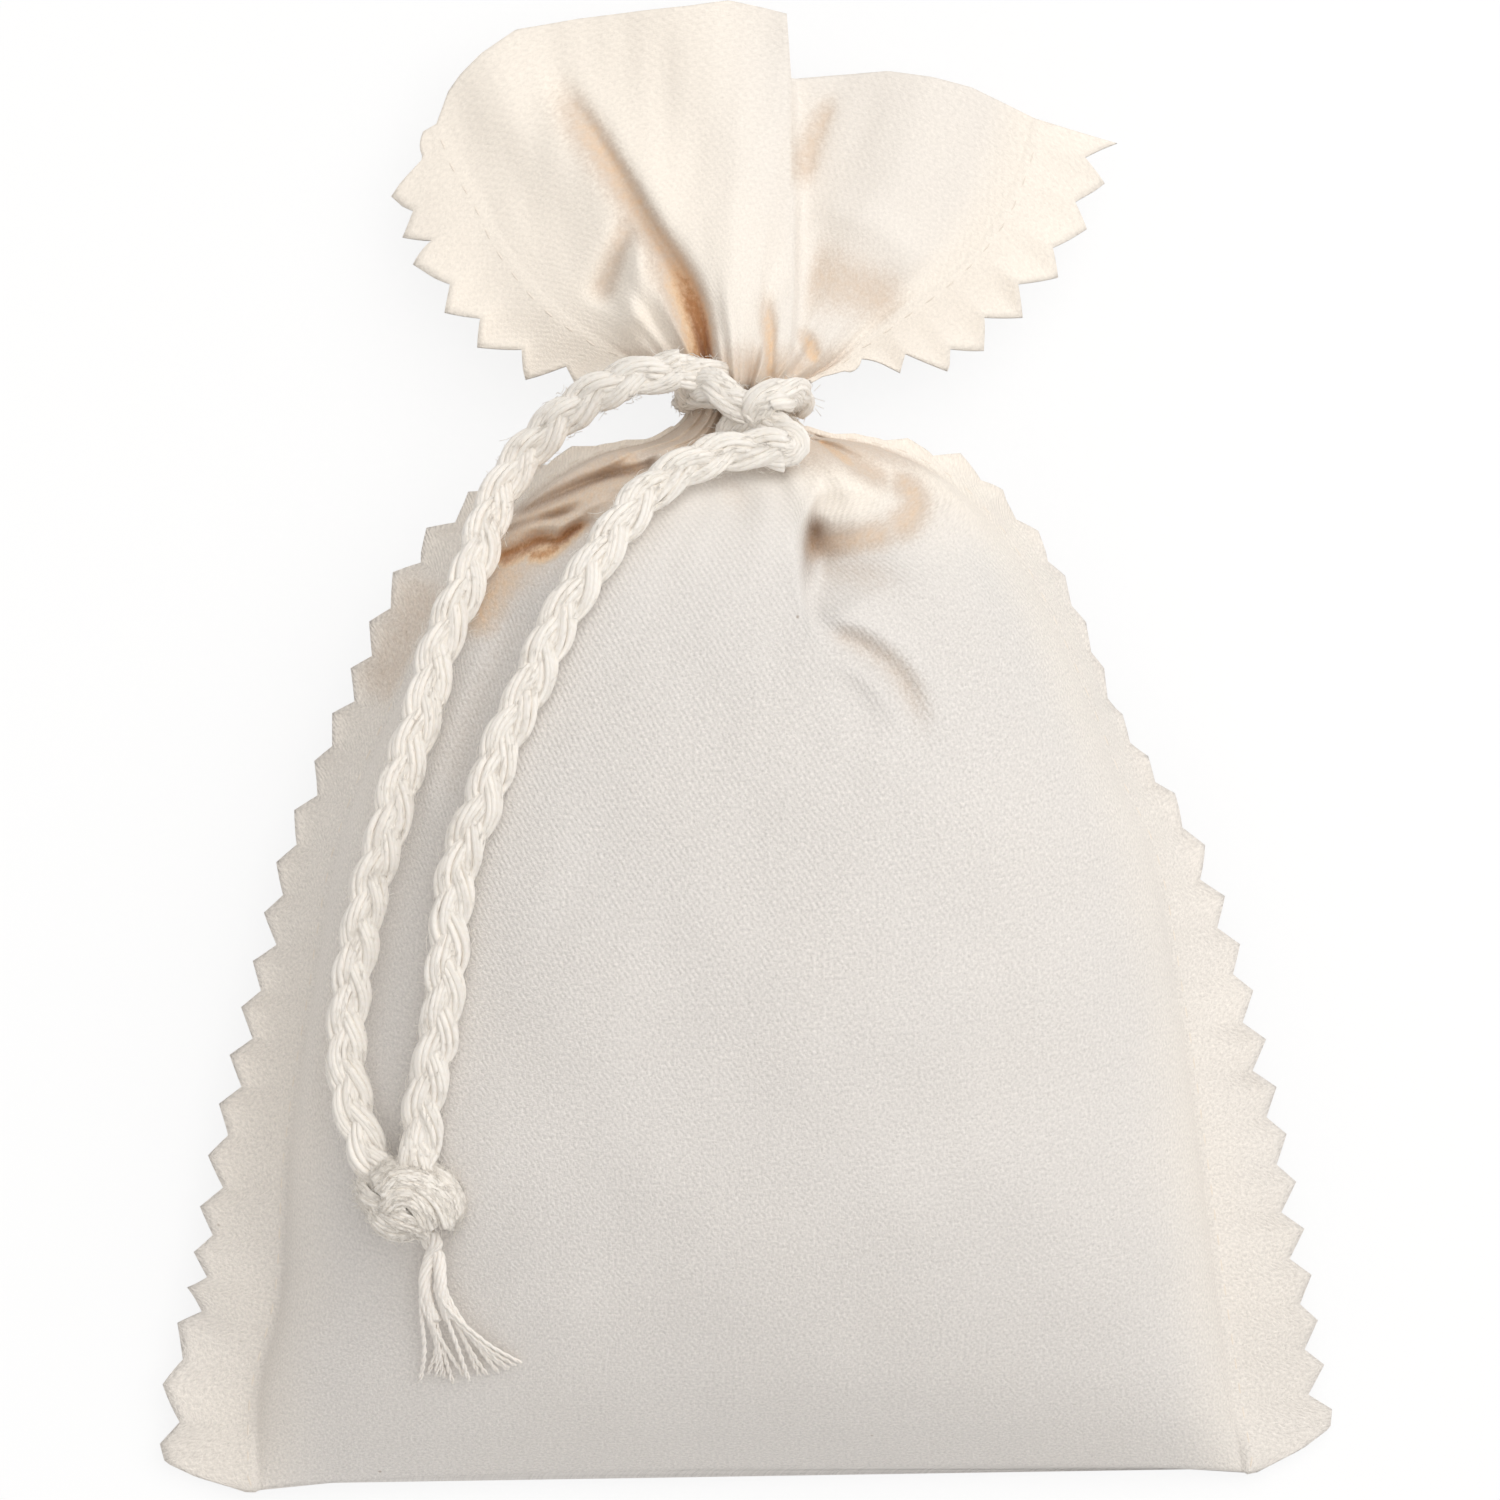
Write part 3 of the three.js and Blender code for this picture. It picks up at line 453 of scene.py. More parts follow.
@dataclass(frozen=True)
class TwillFinish:
    """Unbleached cotton twill: fine diagonal ribs, uneven yarn, bits of husk, and painted warm shade, from grey-tan to
    brown, in the folds.
    """

    name: str = "unbleached_twill"
    # From cool to warm by the warmth attribute, which is partly the cotton's tone and partly painted light
    cool: tuple = (228, 224, 220)
    warm: tuple = (247, 239, 228)
    # shaded, golden and deep are painted warm shade for the folds and hollows; shadow is painted dark shade where a
    # fold hides the cloth
    shaded: tuple = (222, 208, 194)
    golden: tuple = (234, 204, 170)
    deep: tuple = (198, 148, 104)
    shadow: tuple = (180, 163, 150)
    husk: tuple = (138, 112, 86)
    rib_pitch: float = 0.53
    thread_pitch: float = 0.4
    slant: tuple = (0.86, 0.51)
    depth: float = 0.035
    ribs_from: tuple = (40.0, 95.0)
    ribs_to: tuple = (104.0, 124.0)
    grain_to: tuple = (88.0, 112.0)
    husk_cells: float = 0.16

    def make(self) -> bpy.types.Material:
        """Writes the material, which reads the mesh's cloth place, its painted warm shade and painted dark shade in the
        folds, and its warmth, which is partly painted light.

        Returns:
            The material.
        """
        paint = Paint(self.name)
        cloth = paint.attribute("cloth_place", out="Vector")
        u, v, _ = paint.apart(cloth)
        wander = paint.noise(cloth, 0.5, 2.0) - 0.5
        long, short = self.slant
        across = (u * long + v * short) / self.rib_pitch + wander * 0.5
        along = (v * long - u * short) / self.thread_pitch
        ribs = (across * TURN).sine() * 0.5 + 0.5
        floats = ((along + across.floor() * 0.5) * TURN).sine() * 0.5 + 0.5
        fold = paint.attribute("fold_warm_shade")
        clear = 0.35 + v.ramp(*self.ribs_from) * (0.9 - v.ramp(*self.ribs_to) * 0.9)
        shown = clear * (1 - fold.ramp(0.05, 0.35) * 0.7)
        grain = paint.noise(cloth, 3.1, 3.0, 0.7)
        slubs = paint.noise(paint.together(u * 2.4, v * 0.4, 0.0), 1.0, 2.0)
        height = ribs * shown * (0.9 + floats * 0.3) + grain * (5.2 - v.ramp(*self.grain_to) * 2.4) + slubs * 0.8
        normal = paint.bump(height, self.depth)

        # Random tone, plus the mesh's warmth, which is partly painted light
        tone = (paint.noise(cloth, 0.045, 2.0) - 0.5) * 0.35 + paint.attribute("warmth_and_painted_light")
        colour = paint.mix(tone.ramp(0.0, 1.0), linear(*self.cool), linear(*self.warm))
        # Painted warm shade: the folds' share turns the cloth grey-tan, then golden, then deep brown; painted dark
        # shade follows from fold_shade
        fold = fold * (0.55 + paint.noise(cloth, 1.3, 4.0) * 0.9) + (grain - 0.5) * 0.25
        colour = paint.mix(fold.ramp(0.03, 0.4), colour, linear(*self.shaded))
        colour = paint.mix(fold.ramp(0.3, 0.75), colour, linear(*self.golden))
        colour = paint.mix(fold.ramp(0.62, 1.1) * 0.95, colour, linear(*self.deep))
        shade = 1 - (1 - ribs) * shown * 0.022 - (grain - 0.5) * (0.75 - v.ramp(*self.grain_to) * 0.4)
        colour = paint.mix(1.0, colour, paint.node("ShaderNodeCombineColor", None, shade, shade, shade), "MULTIPLY")
        hidden = paint.attribute("fold_shade") * (0.7 + grain * 0.6)
        colour = paint.mix(hidden.ramp(0.0, 1.0), colour, paint.mix(1.0, colour, linear(*self.shadow), "MULTIPLY"))
        cells, chosen = (
            paint.node("ShaderNodeTexVoronoi", {"feature": "F1"}, Vector=cloth, Scale=self.husk_cells, out=out)
            for out in ("Distance", "Color"))
        red, _, _ = paint.apart(chosen)
        bits = (1 - cells.ramp(0.012, 0.04)) * red.over(0.78)
        colour = paint.mix(bits * 0.5, colour, linear(*self.husk))
        return paint.finish(colour, 0.93, normal, Sheen_Weight=0.2, Sheen_Roughness=0.5, Specular_IOR_Level=0.15)


@dataclass(frozen=True)
class YarnFinish:
    """Soft cotton yarn: twisted fibres that run along it, darker and warmer in the grooves between them, painted shade,
    with random patches of tone.
    """

    name: str
    light: tuple = (251, 247, 241)
    dark: tuple = (246, 239, 229)
    twist_pitch: float = 0.7
    depth: float = 0.02
    glow: float = 0.15

    def make(self) -> bpy.types.Material:
        """Writes the material, which reads the mesh's place along and round the yarn.

        Returns:
            The material.
        """
        paint = Paint(self.name)
        place = paint.attribute("yarn_place", out="Vector")
        along, turn, which = paint.apart(place)
        twist = ((along / self.twist_pitch + turn * 2) * TURN).sine() * 0.5 + 0.5
        fibres = paint.noise(paint.together(along * 1.2, turn * 9.0, which), 1.0, 4.0, 0.65)
        patches = paint.noise(paint.together(along * 0.25, which * 3.0, 0.0), 1.0, 2.0)
        normal = paint.bump(twist * 0.6 + fibres, self.depth)
        # Painted shade: the tone follows the bump, darker where twist and fibres sink in; the patches are random tone
        tone = fibres * 0.5 + twist * 0.15 + patches * 0.5
        colour = paint.mix(tone.ramp(0.25, 0.95), linear(*self.dark), linear(*self.light))
        paint.shader.inputs["Subsurface Radius"].default_value = (1.0, 0.95, 0.9)
        return paint.finish(colour, 0.9, normal, Subsurface_Weight=self.glow, Subsurface_Scale=0.001,
                            Sheen_Weight=0.3, Sheen_Roughness=0.5, Specular_IOR_Level=0.15)


@dataclass(frozen=True)
class BudFinish:
    """Dried lavender buds: small grey-violet husks with straw between them."""

    name: str = "dried_lavender"
    violet: tuple = (98, 88, 122)
    straw: tuple = (150, 138, 108)

    def make(self) -> bpy.types.Material:
        """Writes the material in the object's own coordinates.

        Returns:
            The material.
        """
        paint = Paint(self.name)
        where = paint.node("ShaderNodeTexCoord", None, out="Object")
        buds = paint.node("ShaderNodeTexVoronoi", {"feature": "F1"}, Vector=where, Scale=420.0, out="Distance")
        mottle = paint.noise(where, 260.0, 3.0)
        colour = paint.mix(mottle.ramp(0.35, 0.7), linear(*self.violet), linear(*self.straw))
        return paint.finish(colour, 0.95, paint.bump(1 - buds, 1.2))


@dataclass(frozen=True)
class FloorFinish:
    """A plain pale floor, whose white is its own colour and not more light."""

    name: str = "studio_floor"
    colour: tuple = (250, 250, 250)
    lit: float = 0.85

    def make(self) -> bpy.types.Material:
        """Writes a pale floor that the camera sees a little whiter, and that keeps its shadows.

        Returns:
            The material.
        """
        paint = Paint(self.name)
        tint = linear(*self.colour)
        speckle = paint.noise(paint.node("ShaderNodeTexCoord", None, out="Object"), 30.0, 2.0)
        colour = paint.mix(speckle * 0.02, tint, (0.9, 0.9, 0.9))
        material = paint.finish(colour, 0.9, None, Specular_IOR_Level=0.1)
        path = paint.nodes.new("ShaderNodeLightPath")
        seen = Signal(paint, path.outputs["Is Camera Ray"]) + Signal(paint, path.outputs["Is Glossy Ray"])
        glow = paint.node("ShaderNodeEmission", None, (1.0, 1.0, 1.0), 1.0)
        shader = Signal(paint, paint.shader.outputs[0])
        mixed = paint.node("ShaderNodeMixShader", None, seen * self.lit, shader, glow)
        output = next(n for n in paint.nodes if n.bl_idname == "ShaderNodeOutputMaterial")
        paint.links.new(mixed.socket, output.inputs["Surface"])
        return material


@dataclass(frozen=True)
class Fold:
    """A stroke over the front of the cloth that lifts it or presses it in, and paints warm shade and dark shade into
    its colour.

    Args:
        name: What the fold is.
        route: The points that it runs along, seen from the front, in millimetres.
        height: How far it lifts the cloth, less than 0 for a valley.
        width: Half of its width, at the start and at the end.
        step: How far the cloth stays lifted on the left of the route, as where one layer lies over another.
        reach: How far from the route the step has gone down again.
        ends: The shares of its length over which it fades in and out.
        tan: How much painted warm shade, the fold's deep colour, it takes.
        spread: How much wider that painted shade is on the right of the route than on the left.
        shade: How much darker the cloth is where the fold hides it from the light.
    """

    name: str
    route: tuple
    height: float = 0.0
    width: tuple = (2.0, 2.0)
    step: float = 0.0
    reach: float = 8.0
    ends: tuple = (0.25, 0.25)
    tan: float = 0.0
    spread: float = 1.0
    shade: float = 0.0

    def press(self, x: np.ndarray, y: np.ndarray) -> tuple[np.ndarray, np.ndarray]:
        """The fold's lift and the share of its painted shade at these places.

        Args:
            x: Places across, in millimetres.
            y: Places along, in millimetres.

        Returns:
            The lift in millimetres, and how far the fold's painted shade reaches, from 0 to 1.
        """
        line = Route([(*p, 0.0) for p in self.route], 8)
        share = line.run / line.length
        best = np.full(x.shape, 1e9)
        where = np.zeros(x.shape)
        side = np.zeros(x.shape)
        points = line.line
        for i in range(len(points) - 1):
            (ax, ay, _), (bx, by, _) = points[i], points[i + 1]
            dx, dy = bx - ax, by - ay
            long = max(dx * dx + dy * dy, 1e-9)
            t = np.clip(((x - ax) * dx + (y - ay) * dy) / long, 0, 1)
            px, py = x - ax - t * dx, y - ay - t * dy
            off = px * px + py * py
            nearer = off < best
            best = np.where(nearer, off, best)
            where = np.where(nearer, share[i] + t * (share[i + 1] - share[i]), where)
            side = np.where(nearer, np.sign(dx * py - dy * px), side)
        off = np.sqrt(best)
        width = self.width[0] + (self.width[1] - self.width[0]) * where
        fade = smoothstep(where, 0, max(self.ends[0], 1e-3)) * (1 - smoothstep(where, 1 - max(self.ends[1], 1e-3), 1))
        body = np.exp(-((off / width) ** 2))
        lift = self.height * body * fade
        held = 0.5 * (1 + np.tanh(side * off / (0.5 * width))) * np.exp(-((off / self.reach) ** 2))
        painted_shade_reach = np.exp(-((off / (width * np.where(side < 0, self.spread, 1.0))) ** 2))
        return lift + self.step * fade * held, painted_shade_reach * fade


@dataclass
class BagCloth:
    """The bag: one strip of twill, folded at the bottom, sewn at the sides, gathered at the neck, open at the frill."""

    seam_width: float = 102.0
    body_length: float = 104.3
    body_thickness: float = 36.0
    fold_place: float = -72.3
    fold_rise: float = 1.7
    under_fold: float = 0.5
    neck_width: float = 9.4
    neck_flare: float = 1.9
    neck_depth: float = 13.0
    neck_length: float = 5.0
    neck_height: float = 13.0
    neck_offset: float = -0.95
    frill_width: float = 55.0
    frill_length: float = 32.4
    frill_gap: float = 2.0
    cloth_thickness: float = 0.6
    allowance: float = 9.0
    tooth_pitch: float = 4.9
    frill_pitch_share: float = 0.85
    tooth_depth: float = 1.7
    frill_tooth_share: float = 1.3
    seam_height: float = 2.0
    tooth_rows: int = 12
    neck_rows: int = 12
    front_columns: int = 160
    back_columns: int = 36
    allowance_columns: int = 8
    filling_columns: int = 40
    filling_gap: float = 9.0
    filling_room: tuple = (0.06, 0.86)
    # Seams: across in half widths, along in lengths, height in thicknesses (for the frill, drop in neck heights).
    left_body_seam: tuple = (
        (-0.975, -0.0225, 0), (-0.969, 0.0714, 0.04), (-0.92, 0.167, 0.105), (-0.9, 0.311, 0.185),
        (-0.855, 0.455, 0.24), (-0.798, 0.608, 0.28), (-0.684, 0.743, 0.295), (-0.576, 0.848, 0.3),
        (-0.429, 0.934, 0.303), (-0.302, 0.974, 0.305), (-0.184, 0.99, 0.306),
    )
    right_body_seam: tuple = (
        (0.984, -0.005, 0), (0.955, 0.0714, 0.04), (0.924, 0.167, 0.105), (0.884, 0.311, 0.185),
        (0.841, 0.455, 0.24), (0.786, 0.599, 0.28), (0.727, 0.661, 0.29), (0.659, 0.743, 0.295),
        (0.58, 0.829, 0.3), (0.492, 0.901, 0.302), (0.39, 0.951, 0.304), (0.257, 0.983, 0.305),
        (0.149, 0.994, 0.306),
    )
    left_frill_seam: tuple = (
        (-0.451, 0.08, 0.03), (-0.596, 0.154, 0.07), (-0.724, 0.235, 0.12), (-0.825, 0.333, 0.2),
        (-0.91, 0.438, 0.28), (-0.96, 0.53, 0.34), (-1.02, 0.62, 0.39), (-1.08, 0.71, 0.43),
        (-1.14, 0.8, 0.46),
    )
    right_frill_seam: tuple = (
        (0.313, 0.05, 0.02), (0.422, 0.13, 0.05), (0.567, 0.221, 0.08), (0.713, 0.313, 0.12),
        (0.84, 0.421, 0.17), (0.931, 0.536, 0.22), (0.993, 0.668, 0.27), (1.04, 0.813, 0.31),
    )
    # Tables of (place along the body or the frill, value): heights in thicknesses, tilts in degrees, reach in shares.
    front_rise: tuple = (
        (0, 0.09), (0.02, 0.19), (0.049, 0.31), (0.098, 0.44), (0.176, 0.56), (0.294, 0.65), (0.431, 0.69),
        (0.568, 0.675), (0.685, 0.62), (0.783, 0.53), (0.862, 0.4), (0.92, 0.27), (0.959, 0.2), (1, 0.18),
    )
    back_height: tuple = ((0, 0.033), (0.02, 0), (0.832, 0), (0.91, 0.03), (0.95, 0.1), (1, 0.18))
    roundness: tuple = ((0, 0), (0.783, 0), (1, 1))
    front_curve: tuple = (2.5, 1.8)
    back_curve: tuple = (4.0, 1.2)
    back_overrun: float = 1.08
    left_body_tilt: tuple = (
        (0, 3), (0.069, 5), (0.166, 12), (0.303, 38), (0.445, 50), (0.587, 60), (0.724, 54), (0.832, 50),
        (0.91, 35), (0.95, 20), (1, 0),
    )
    right_body_tilt: tuple = (
        (0, 5), (0.069, 8), (0.166, 8), (0.303, 28), (0.431, 44), (0.568, 66), (0.646, 76), (0.832, 70),
        (0.91, 45), (0.95, 20), (1, 0),
    )
    left_frill_tilt: tuple = ((0, 0), (0.2, 25), (0.5, 12), (1, 10))
    right_frill_tilt: tuple = ((0, 0), (0.2, 35), (0.5, 35), (1, 30))
    body_reach: tuple = (
        (0, 0.1), (0.012, 0.62), (0.025, 0.95), (0.04, 1), (0.783, 1), (0.862, 0.6), (0.91, 0.25), (0.95, 0.08),
        (1, 0.05),
    )
    left_frill_reach: tuple = (
        (0, 0.05), (0.1, 0.1), (0.2, 0.5), (0.35, 0.82), (0.5, 0.88), (0.7, 0.93), (0.85, 0.86), (0.91, 0.74),
        (0.96, 0.4), (1, 0.15),
    )
    right_frill_reach: tuple = ((0, 0.05), (0.1, 0.1), (0.2, 0.5), (0.35, 0.95), (1, 1))
    # The mouth's edge across the frill, and where it steps down from the left sheet to the right lobe.
    mouth: tuple = (
        (0, 0), (0.02, 0.1), (0.04, 0.15), (0.075, 0.213), (0.134, 0.287), (0.24, 0.318), (0.34, 0.337),
        (0.42, 0.35), (0.49, 0.367), (0.55, 0.343), (0.586, 0.325), (0.5935, 0.127), (0.655, 0.136),
        (0.755, 0.148), (0.83, 0.127), (0.894, 0.096), (0.94, 0.055), (1, 0),
    )
    mouth_step: tuple = (0.586, 0.5935)
    # Soft waves: places across at the neck, half way and at the mouth, width, and heights in frill lengths.
    frill_folds: tuple = (
        ((0.1, 0.2, 0.02), 0.1, (0, 0.05, 0.03)),
        ((0.55, 0.5, 0.4), 0.12, (0.02, 0.05, 0.04)),
        ((0.9, 0.8, 0.8), 0.1, (0, 0.04, 0.02)),
    )
    frill_arch: float = 0.03
    fan_radius: float = 26.0
    fan_drop: float = 3.0
    tooth_notch: float = 0.41
    ridge_height: float = 0.35
    frill_ridge_share: float = 0.3
    ridge_width: float = 0.9
    # Gathers at the tie: how many across, phase, and height in millimetres.
    pleats: tuple = ((4.3, 0.4, 0.6), (7.2, 2.1, 0.5), (11.6, 4.4, 0.3), (17.3, 1.2, 0.14))
    # Folds paint warm shade into the cloth along their valleys and dark shade where they hide it from the light;
    # strokes without height only paint shade
    folds: tuple = (
        # Painted warm shade only, over the left shoulder
        Fold("left shoulder's painted warm shade", ((-33.0, 8.0), (-27.0, 17.0), (-20.0, 23.0), (-10.0, 29.5)), 0.0, (4.8, 4.0),
             tan=0.5, ends=(0.5, 0.05), shade=0.16),
        Fold("left shoulder's upper roll", ((-23.5, 25.6), (-16.6, 28.2), (-10.0, 30.2)), 2.2, (1.0, 1.0)),
        Fold("left shoulder crease", ((-24.4, 23.2), (-22.4, 23.9), (-18.9, 25.3), (-14.5, 27.1), (-10.9, 27.9),
             (-8.6, 29.2)), -2.8, (0.7, 0.6), tan=0.4, ends=(0.15, 0.1), shade=0.6),
        Fold("left shoulder roll", ((-25.6, 21.8), (-19.8, 24.2), (-14.9, 25.9), (-9.5, 27.2)), 1.8, (0.9, 0.9)),
        Fold("left shoulder's second crease", ((-26.6, 20.9), (-23.0, 22.4), (-19.2, 23.4), (-15.6, 24.4)), -2.0,
             (0.55, 0.45), tan=0.4, ends=(0.2, 0.3), shade=0.5),
        Fold("left shoulder's deep fold", ((-26.2, 18.6), (-22.8, 20.0), (-20.3, 21.0), (-18.8, 20.8), (-17.2, 22.0),
             (-14.4, 23.1)), -2.4, (0.8, 0.4), tan=1.05, ends=(0.15, 0.25), spread=2.2, shade=0.3),
        # Painted warm shade only, in the deep fold
        Fold("belly of the deep fold", ((-22.8, 19.5), (-20.2, 19.5), (-17.6, 21.0)), 0.0, (1.3, 0.7), tan=1.0,
             ends=(0.3, 0.3)),
        Fold("lip over the deep fold", ((-24.4, 21.2), (-21.4, 22.4), (-18.6, 22.4), (-16.0, 24.0), (-12.6, 25.4)),
             1.6, (0.55, 0.6)),
        # Painted warm shade only, under the deep fold
        Fold("painted warm shade under the fold", ((-28.5, 10.0), (-26.0, 14.4), (-23.6, 17.6), (-20.0, 19.2)), 0.0, (2.6, 2.2),
             tan=0.5, ends=(0.3, 0.3)),
        Fold("hollow between the tails", ((-20.0, 18.0), (-25.6, 8.0), (-31.0, -8.0)), -1.3, (2.6, 2.6), tan=0.12),
        Fold("roll between the tails", ((-24.5, 13.5), (-29.0, 4.0), (-33.0, -8.0)), 1.0, (1.5, 1.8)),
        Fold("right puff", ((5.6, 31.2), (8.0, 29.0), (9.8, 26.6), (10.4, 24.0)), 1.2, (1.6, 3.2), ends=(0.5, 0.3)),
        Fold("right puff's upper valley", ((6.0, 31.8), (9.6, 28.9), (13.2, 27.0), (16.0, 26.0)), -2.2, (0.7, 1.6),
             tan=0.42, ends=(0.1, 0.35), spread=1.15, shade=0.15),
        Fold("right puff's bend", ((12.4, 27.6), (15.4, 26.4), (16.4, 24.6), (15.2, 22.5), (12.0, 21.4)), -1.2,
             (1.6, 2.0), tan=0.46, ends=(0.3, 0.3), shade=0.16),
        Fold("right puff's lower valley", ((16.0, 22.4), (12.4, 21.2), (8.8, 20.6), (5.6, 20.4)), -1.8, (1.7, 1.7),
             tan=0.44, ends=(0.35, 0.1), shade=0.22),
        # Painted warm shade only, along the puff's crease
        Fold("golden crease of the puff", ((6.4, 31.4), (8.8, 29.5), (10.8, 28.0), (12.4, 26.9)), 0.0, (0.5, 0.9),
             tan=0.62, ends=(0.15, 0.5)),
        Fold("right shoulder's roll", ((7.0, 33.4), (14.4, 31.2), (20.0, 27.0), (23.0, 20.5)), 2.2, (0.9, 2.2)),
        Fold("front panel's edge", ((7.3, 27.8), (6.6, 24.8), (5.4, 22.0), (5.1, 19.5), (5.2, 16.2), (5.9, 13.3),
             (7.6, 10.4)), 0.5, (0.6, 0.6), step=-3.6, reach=5.0, ends=(0.35, 0.35)),
        Fold("shade of the panel's edge", ((7.1, 26.4), (6.1, 23.0), (5.6, 20.4), (5.6, 17.4), (6.0, 14.0)), 0.0,
             (1.0, 1.5), ends=(0.4, 0.4), spread=0.3, shade=0.5),
        Fold("pit beside the panel's edge", ((7.0, 23.4), (6.4, 21.6), (6.2, 20.0), (6.6, 17.4)), -2.6, (0.9, 1.6),
             tan=0.5, ends=(0.3, 0.5), spread=0.6, shade=0.62),
        Fold("pit's soft side", ((5.8, 20.6), (8.2, 20.0), (12.6, 20.4)), 0.0, (1.9, 1.4), ends=(0.05, 0.6),
             shade=0.42),
        Fold("hollow under the puff", ((6.4, 18.4), (11.0, 17.6), (18.0, 15.4)), -1.2, (2.4, 2.6), tan=0.16,
             ends=(0.1, 0.6), shade=0.22),
        Fold("second ridge", ((5.6, 13.8), (11.0, 12.0), (14.4, 9.6), (16.8, 6.6), (18.2, 3.0), (18.4, -2.0)), 1.7,
             (1.1, 2.0), ends=(0.2, 0.5)),
        Fold("second valley", ((6.2, 12.4), (10.7, 10.9), (14.0, 8.6), (16.0, 5.8), (17.0, 2.4), (16.6, -1.6)), -1.4,
             (1.2, 1.9), tan=0.22, ends=(0.2, 0.45), shade=0.16),
        Fold("under the second valley", ((7.4, 9.4), (10.8, 7.4), (13.4, 4.6), (15.0, 1.0)), 0.6, (0.8, 1.5),
             ends=(0.4, 0.5)),
        Fold("third valley", ((7.4, 8.0), (10.4, 5.6), (12.4, 2.6), (12.8, -1.4)), -0.5, (1.8, 2.4), ends=(0.3, 0.4)),
        Fold("below the tie", ((-4.0, 28.6), (-1.4, 25.5), (0.5, 20.5)), -0.9, (1.6, 2.2), ends=(0.1, 0.6), tan=0.14),
        Fold("beside the left tail", ((-29.5, 12.0), (-34.0, -2.0), (-37.2, -15.0), (-41.5, -33.0), (-44.5, -52.0)),
             -1.6, (2.0, 2.6), tan=0.1, ends=(0.2, 0.35)),
    )
    apart_reach: float = 0.035
    # Warmth lightens the cloth as well as warming it: partly the cotton's tone, partly painted light
    body_warmth: float = 0.12
    neck_warmth: float = 0.75
    edge_warmth: float = 0.35
    # Painted light: the left allowance faces away from the lamp and is painted lighter and warmer
    left_flap_painted_light: float = 0.4
    # Warm places on the front: x, y, radius, and how much warmer; the lighter spot on the puff is a painted highlight.
    warm_and_highlight_spots: tuple = ((9.6, 25.6, 4.0, 0.6), (18.0, 26.0, 7.0, 0.35), (-16.0, 27.0, 7.0, 0.3))
    # Painted warm shade on the upper left allowance, which faces away from the lamp
    allowance_painted_shade: Fold = Fold("upper left allowance", ((-30.5, 19.0), (-34.0, 12.0), (-38.0, 3.0)), 0.0, (4.2, 3.4))
    # The frill's strokes paint warm shade into their folds as well
    frill_strokes: tuple = (
        Fold("long fold of the left lobe", ((-20.8, 69.8), (-14.5, 60.1), (-9.5, 52.1), (-5.5, 46.1), (-4.1, 42.1),
             (-3.7, 35.2)), -1.6, (1.5, 0.9), tan=0.5, ends=(0.25, 0.02), spread=2.0),
        Fold("middle panel over the long fold", ((-18.0, 65.6), (-12.4, 58.0), (-8.9, 52.1), (-5.1, 46.1), (-4.0, 42.0),
             (-3.4, 35.2)), 0.0, (0.6, 0.4), step=2.0, reach=8.0, ends=(0.5, 0.02)),
        Fold("the long fold's depth", ((-10.8, 54.4), (-7.9, 49.6), (-5.9, 45.8), (-4.6, 42.1), (-4.2, 35.2)), -0.3,
             (1.1, 0.8), tan=1.05, ends=(0.6, 0.02), spread=2.6),
        Fold("left lobe's small valley", ((-11.2, 54.2), (-13.4, 49.0), (-15.2, 43.8)), -1.6, (1.1, 1.5), tan=0.38),
        Fold("left lobe's ridge", ((-10.6, 52.2), (-11.2, 46.6), (-11.8, 40.5)), 1.4, (1.2, 1.6)),
        Fold("pleat by the crease", ((1.6, 47.4), (2.1, 41.0), (1.9, 35.2)), -1.5, (1.0, 0.4), tan=0.6,
             ends=(0.5, 0.02), spread=1.4),
        Fold("left sheet over the right lobe", ((4.2, 75.5), (4.3, 67.1), (4.8, 55.1), (4.6, 45.1), (3.9, 35.2)), 0.2,
             (0.45, 0.45), step=-1.9, reach=9.0, ends=(0.01, 0.02)),
        Fold("right lobe under the sheet", ((9.0, 67.0), (7.6, 63.6), (6.2, 60.2), (5.4, 57.0), (5.2, 54.4)), -0.7,
             (0.8, 1.5), tan=0.36, ends=(0.3, 0.35), spread=1.6),
        Fold("right lobe's ridge", ((5.4, 55.0), (13.1, 52.0), (18.0, 47.0)), 0.6, (1.6, 2.2)),
        Fold("right lobe's hollow", ((5.0, 47.6), (9.6, 46.6), (16.6, 43.8)), -0.7, (4.2, 2.6), tan=0.36,
             ends=(0.15, 0.3)),
        Fold("right lobe's root", ((4.6, 43.0), (6.0, 40.4), (7.0, 37.6)), -0.6, (0.8, 1.1), tan=0.6, ends=(0.5, 0.3)),
    )

    @property
    def neck_foot(self) -> float:
        """Where the body ends and the neck begins, along Y."""
        return self.fold_place + self.body_length

    @property
    def neck_top(self) -> float:
        """Where the neck ends and the frill begins, along Y."""
        return self.neck_foot + self.neck_length

    def _neck_side(self, side: Side, y: float) -> np.ndarray:
        """The side seam's place on the neck, which is narrowest under the cord."""
        along = 2 * (y - self.neck_foot) / self.neck_length - 1
        half = self.neck_width / 2 + self.neck_flare * along**2
        return np.array([self.neck_offset + (-half if side is Side.LEFT else half), y, self.neck_height])

    def _body_seam(self, side: Side) -> Route:
        """The side seam from the bottom fold to the neck."""
        table = self.left_body_seam if side is Side.LEFT else self.right_body_seam
        points = np.array(table) * [self.seam_width / 2, self.body_length, self.body_thickness]
        points += [0, self.fold_place, self.seam_height]
        return Route([*points, self._neck_side(side, self.neck_foot)])

    def _frill_seam(self, side: Side) -> Route:
        """The side seam from the neck to the mouth.

        Args:
            side: The side.

        Returns:
            The seam's curve.
        """
        table = self.left_frill_seam if side is Side.LEFT else self.right_frill_seam
        points = [
            (a * self.frill_width / 2, self.neck_top + b * self.frill_length, (1 - c) * self.neck_height)
            for a, b, c in table]
        return Route([self._neck_side(side, self.neck_top), *points])

